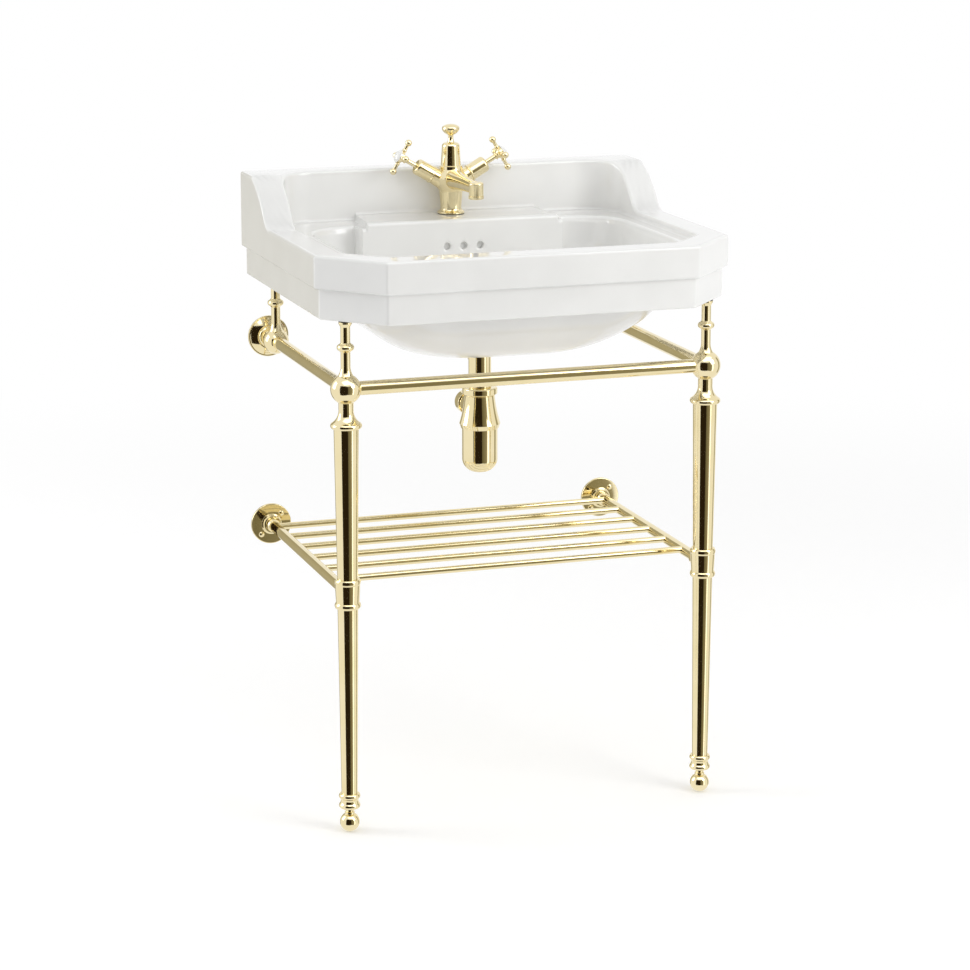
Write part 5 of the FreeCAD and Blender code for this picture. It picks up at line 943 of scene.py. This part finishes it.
# %% [markdown]
# ## Underside
# A cast wall is about as thick everywhere, so the underside is the bowl's own curve grown by the 12 mm of the
# china. It climbs to the underside of the deck and runs out to the hollow where the skin began.

# %% Underside
WALL = 12
DECK_UNDER = 795    # the deck's underside, round the belly
under_floor = round_loop(104, 107, -89, 76.8)
for share in (0.1, 0.5, 0.9):
    lay(blend(disc_loop(under_floor, DRAIN[-1][0]), under_floor, share), UNDER_Z)
OUTSIDE = SECTIONS + (0, WALL, WALL, -WALL, WALL)
OUTSIDE[:, 0] = (792, 747.3, 691.4, UNDER_Z)
for share in np.linspace(1, 0.02, 26):
    height, *plan = bowl_section(share, OUTSIDE)
    lay(squared_off(round_loop(*plan), BLOCK_FACE + WALL, BLOCK_HALF - WALL), height)
belly_top = squared_off(round_loop(252, 162, -199, 86), 129, 143)
for share in (0.0, 0.06, 0.5, 0.96):
    lay(blend(belly_top, UNDER, share), DECK_UNDER)
print("rows in all:", len(basin_rows))

# %% [markdown]
# ## The skin
# With every loop laid, the skin is one grid: row after row of points, closed round each loop and closed
# again from the last loop to the first, like the surface of a ring. So it has no border and no pole.

# %% Skin the basin
def skinned(rows):
    """Joins each loop to the next, point by point, and the last to the first."""
    grid = np.array(rows)
    count, around = grid.shape[:2]
    index = np.arange(count * around).reshape(count, around)
    following = np.roll(index, -1, axis=0)
    quads = np.stack([index, np.roll(index, -1, axis=1), np.roll(following, -1, axis=1), following], axis=-1)
    return grid.reshape(-1, 3), quads.reshape(-1, 4).tolist()


basin_surface = skinned(basin_rows)
basin_piece = make_piece("basin_glazed", [basin_surface], "white_china", STAND, "basin")
print("quads in the skin:", len(basin_surface[1]))

# %% [markdown]
# ## Holes in the basin
# Three overflow holes go into the block's front, and two bolt holes into the back wall. A glazed hole has
# a rolled edge, so each cutter is turned like a trumpet, and one Boolean modifier cuts them all.

# %% Cut the holes
FLARE_OUT = 1.6    # how far a hole's mouth opens, and how deep its rolled edge reaches


def hole_cutter(radius, depth, where, along):
    """A plug with a flared mouth: its radius grows by a quarter turn over the last of its depth."""
    flare = [(radius + FLARE_OUT * (1 - c), depth - FLARE_OUT + FLARE_OUT * s) for s, c in quarter(7)]
    rows = [(0, 0), (radius, 0)] + flare + [(radius + FLARE_OUT, depth + 3), (0, depth + 3)]
    return turned(rows, aimed(where, along), 48, 0.2)


cutters = [hole_cutter(5.4, 8, (x, 123, 777), TO_FRONT) for x in (-25.5, 0, 25.5)]
cutters += [hole_cutter(7, 16, (x, 229, 752), TO_WALL) for x in (-140, 140)]
cut_object = mesh_object("hole_cutters", cutters)
boolean = basin_piece.modifiers.new("holes", "BOOLEAN")
boolean.operation = "DIFFERENCE"
boolean.solver = "EXACT"
boolean.object = cut_object
ready = basin_piece.evaluated_get(bpy.context.evaluated_depsgraph_get())
holed = bpy.data.meshes.new_from_object(ready)
basin_piece.modifiers.clear()
basin_piece.data = holed
holed.name = "basin_glazed"
holed.shade_smooth()
holed.set_sharp_from_angle(angle=math.radians(40))
bpy.data.objects.remove(cut_object)
print("basin faces after the holes:", len(holed.polygons))

# %% [markdown]
# ## Camera
# The camera stands over four metres away with a long lens, as in a catalogue picture, so that upright
# edges stay nearly upright. Its bearing, height and lens were fitted to points measured on the object. The
# frame is shifted, not tilted, to bring the feet into the picture.

# %% Camera
AZIMUTH, ELEVATION = -18.642, 11.581    # degrees: to the left of the front, and up
DISTANCE = 4380.1                       # mm, like the target
TARGET = (-6.08, 0, 585.5)
FOCAL_PX, PICTURE_PX = 3017.3, 970
SENSOR = 36                             # mm
FRAME_SHIFT = -0.1                      # of the picture's width, downwards


def place_camera():
    """A camera that looks at the target along its bearing; its lens is the focal length in pixels
    times the sensor's width over the picture's."""
    a, e = math.radians(AZIMUTH), math.radians(ELEVATION)
    back = Vector((math.sin(a) * math.cos(e), -math.cos(a) * math.cos(e), math.sin(e)))
    data = bpy.data.cameras.new("camera")
    camera = bpy.data.objects.new("camera", data)
    bpy.context.scene.collection.objects.link(camera)
    camera.location = (Vector(TARGET) + back * DISTANCE) / 1000
    camera.rotation_mode = "QUATERNION"
    camera.rotation_quaternion = (-back).to_track_quat("-Z", "Y")
    data.sensor_width = SENSOR
    data.lens = FOCAL_PX * SENSOR / PICTURE_PX
    data.shift_y = FRAME_SHIFT
    bpy.context.scene.camera = camera
    return camera


camera = place_camera()
print("camera at", tuple(round(v, 3) for v in camera.location))

# %% [markdown]
# ## Floor
# The floor is a plain matt sheet that carries the object's soft shadow. Further out it fades into the
# white that the camera sees in the world, so the picture has no horizon. It is hidden from the metal,
# which would show it as a grey band.

# %% Floor
GRAIN_MM = 25
FADE_FROM, FADE_TO = 1.2, 3.0    # metres from the middle


def floor_finish():
    """Matt white sheet, a little brighter to the camera, that fades to plain white further out."""
    material, tree, place = finish_named("pale_studio_floor")
    grain = add(tree, "ShaderNodeTexNoise", {"Scale": 1000 / GRAIN_MM, "Detail": 3.0}, {"Vector": place})
    tint = add(tree, "ShaderNodeValToRGB", {}, {"Fac": grain.outputs["Fac"]},
               ((0.3, "#F9F9F9"), (0.7, "#FBFBFB")))
    camera_ray = add(tree, "ShaderNodeLightPath").outputs["Is Camera Ray"]
    lift = add(tree, "ShaderNodeMath", {1: 0.1}, {0: camera_ray}, operation="MULTIPLY")
    matt = add(tree, "ShaderNodeBsdfPrincipled", {"Roughness": 0.9, "Specular IOR Level": 0.0},
               {"Base Color": tint.outputs["Color"], "Emission Strength": lift.outputs[0]})
    glow = add(tree, "ShaderNodeEmission", {"Color": (1, 1, 1, 1)}, {"Strength": camera_ray})
    far = add(tree, "ShaderNodeVectorMath", {}, {0: place}, operation="LENGTH")
    fade = add(tree, "ShaderNodeMapRange", {"From Min": FADE_FROM, "From Max": FADE_TO},
               {"Value": far.outputs["Value"]}, interpolation_type="SMOOTHSTEP")
    shader = add(tree, "ShaderNodeMixShader", {},
                 {0: fade.outputs[0], 1: matt.outputs[0], 2: glow.outputs[0]})
    add(tree, "ShaderNodeOutputMaterial", {}, {"Surface": shader.outputs[0]})
    return material


def sheet(name, corners, finish):
    """One flat rectangle of the studio."""
    mesh = bpy.data.meshes.new(name)
    mesh.from_pydata(corners, [], [(0, 1, 2, 3)])
    mesh.materials.append(finish)
    piece = bpy.data.objects.new(name, mesh)
    bpy.context.scene.collection.objects.link(piece)
    return piece


floor = sheet("floor", [(-12, -12, 0), (12, -12, 0), (12, 12, 0), (-12, 12, 0)], floor_finish())
floor.visible_glossy = False
print("floor laid, fading to white from", FADE_FROM, "to", FADE_TO, "m")

# %% [markdown]
# ## World
# The world is an even white light, a little under full strength where it falls on the object. The camera
# and the mirrors see it at full strength, as the white background that it stands for.

# %% World
SOFT_LIGHT = 0.78
world = bpy.data.worlds.new("studio")
bpy.context.scene.world = world
world.use_nodes = True
tree = world.node_tree
tree.nodes.clear()
rays = add(tree, "ShaderNodeLightPath").outputs
seen = add(tree, "ShaderNodeMath", {}, {0: rays["Is Camera Ray"], 1: rays["Is Glossy Ray"]},
           operation="MAXIMUM")
seen = add(tree, "ShaderNodeMath", {}, {0: seen.outputs[0], 1: rays["Is Transmission Ray"]},
           operation="MAXIMUM")
soft = add(tree, "ShaderNodeBackground", {"Color": (1, 1, 1, 1), "Strength": SOFT_LIGHT})
white = add(tree, "ShaderNodeBackground", {"Color": (1, 1, 1, 1), "Strength": 1.0})
mix = add(tree, "ShaderNodeMixShader", {}, {0: seen.outputs[0], 1: soft.outputs[0], 2: white.outputs[0]})
add(tree, "ShaderNodeOutputWorld", {}, {"Surface": mix.outputs[0]})
print("world light", SOFT_LIGHT, "on the object, 1 to the camera and the mirrors")

# %% [markdown]
# ## Flags and cards
# Polished metal has hardly a colour of its own: it shows the room. So four brown flags and two bright cards
# stand round the object, as in a jewellery shoot, and the metal shows them as its dark bands and its
# highlights. They take no part in the light or the shadows and the camera doesn't see them. A flag's tone
# runs from its left edge to its right, so that a band can end hard on one side and soft on the other.

# %% Flags
FLAG_REACH = 4.0                 # metres from the middle to a flag
FLAG_LOW, FLAG_HIGH = -1.8, 2.6
CARD_GLOW = 2.2                  # a bright card outshines the white world
CARD_Z = 3


def flag_cloth(name, stops, strength=1.0):
    """Cloth that glows in the tones a flag would show, from its left edge (0) to its right edge (1)."""
    material, tree, place = finish_named(name)
    across = add(tree, "ShaderNodeSeparateXYZ", {}, {"Vector": place})
    tone = add(tree, "ShaderNodeValToRGB", {}, {"Fac": across.outputs["X"]}, stops)
    shade = add(tree, "ShaderNodeEmission", {"Strength": strength}, {"Color": tone.outputs["Color"]})
    add(tree, "ShaderNodeOutputMaterial", {}, {"Surface": shade.outputs[0]})
    return material


def show_to_gloss_only(piece):
    """Hides a sheet from the camera and from the light; mirrors still see it."""
    piece.visible_camera = False
    piece.visible_diffuse = False
    piece.visible_shadow = False
    piece.visible_transmission = False


def flag(name, left, right, *stops, strength=1.0):
    """An upright sheet between two bearings, in degrees to the right of the camera's own."""
    piece = sheet(name, [(0, 0, FLAG_LOW), (1, 0, FLAG_LOW), (1, 0, FLAG_HIGH), (0, 0, FLAG_HIGH)],
                  flag_cloth(name, stops, strength))
    turns = np.radians(np.array([left, right]) + AZIMUTH)
    ends = FLAG_REACH * np.column_stack([np.sin(turns), -np.cos(turns)])
    side = ends[1] - ends[0]
    piece.location = (*ends[0], 0)
    piece.rotation_euler.z = math.atan2(side[1], side[0])
    piece.scale.x = float(np.linalg.norm(side))
    show_to_gloss_only(piece)
    return piece


flag("black_flag", -42, 16, (0.0, "#2A2114"), (0.97, "#2A2114"), (1.0, "#6E6850"))
flag("tan_flag", 16, 50, (0.0, "#6E6850"), (0.94, "#9B947A"), (1.0, "#FFFFFF"))
flag("bright_card", 53, 60, (0.0, "#FFFFFF"), (1.0, "#FFFFFF"), strength=CARD_GLOW)
flag("right_flag", 106, 126, (0.0, "#FFFFFF"), (0.2, "#A8A28A"), (1.0, "#B9B39C"))
flag("left_flag", -156, -130, (0.0, "#A8A28A"), (0.8, "#B9B39C"), (1.0, "#FFFFFF"))
overhead = sheet("overhead_card",
                 [(-1.8, -3.0, CARD_Z), (1.8, -3.0, CARD_Z), (1.8, -0.8, CARD_Z), (-1.8, -0.8, CARD_Z)],
                 flag_cloth("overhead_card", ((0.0, "#FFFFFF"), (1.0, "#FFFFFF")), CARD_GLOW))
show_to_gloss_only(overhead)
print("four flags and two bright cards round the object")

# %% [markdown]
# ## Lamps
# Three softboxes give the white china its form: a key from the front right, one from the left and a low one
# that lifts the apron. They are weak beside the world, since strong ones would burn the china out. The low
# one is hidden from the metal, which would show it as a bar.

# %% Lamps
def lamp(name, place, target, size, watts):
    """A rectangular softbox turned to its target."""
    data = bpy.data.lights.new(name, "AREA")
    data.shape = "RECTANGLE"
    data.size, data.size_y = size
    data.energy = watts
    light = bpy.data.objects.new(name, data)
    light.location = place
    light.rotation_euler = (Vector(target) - Vector(place)).to_track_quat("-Z", "Y").to_euler()
    bpy.context.scene.collection.objects.link(light)
    return light


lamp("key_softbox", (2.0, -2.5, 2.2), (0, 0, 0.6), (1.6, 1.6), 28)
lamp("side_softbox", (-3.1, 1.2, 1.6), (0, 0, 0.6), (1.4, 2.0), 34)
low_softbox = lamp("low_softbox", (1.5, -2.6, 0.5), (0, 0, 0.75), (1.4, 0.5), 11.5)
low_softbox.visible_glossy = False
bpy.context.scene.view_settings.view_transform = "Standard"
print("lit by a soft world and three softboxes")
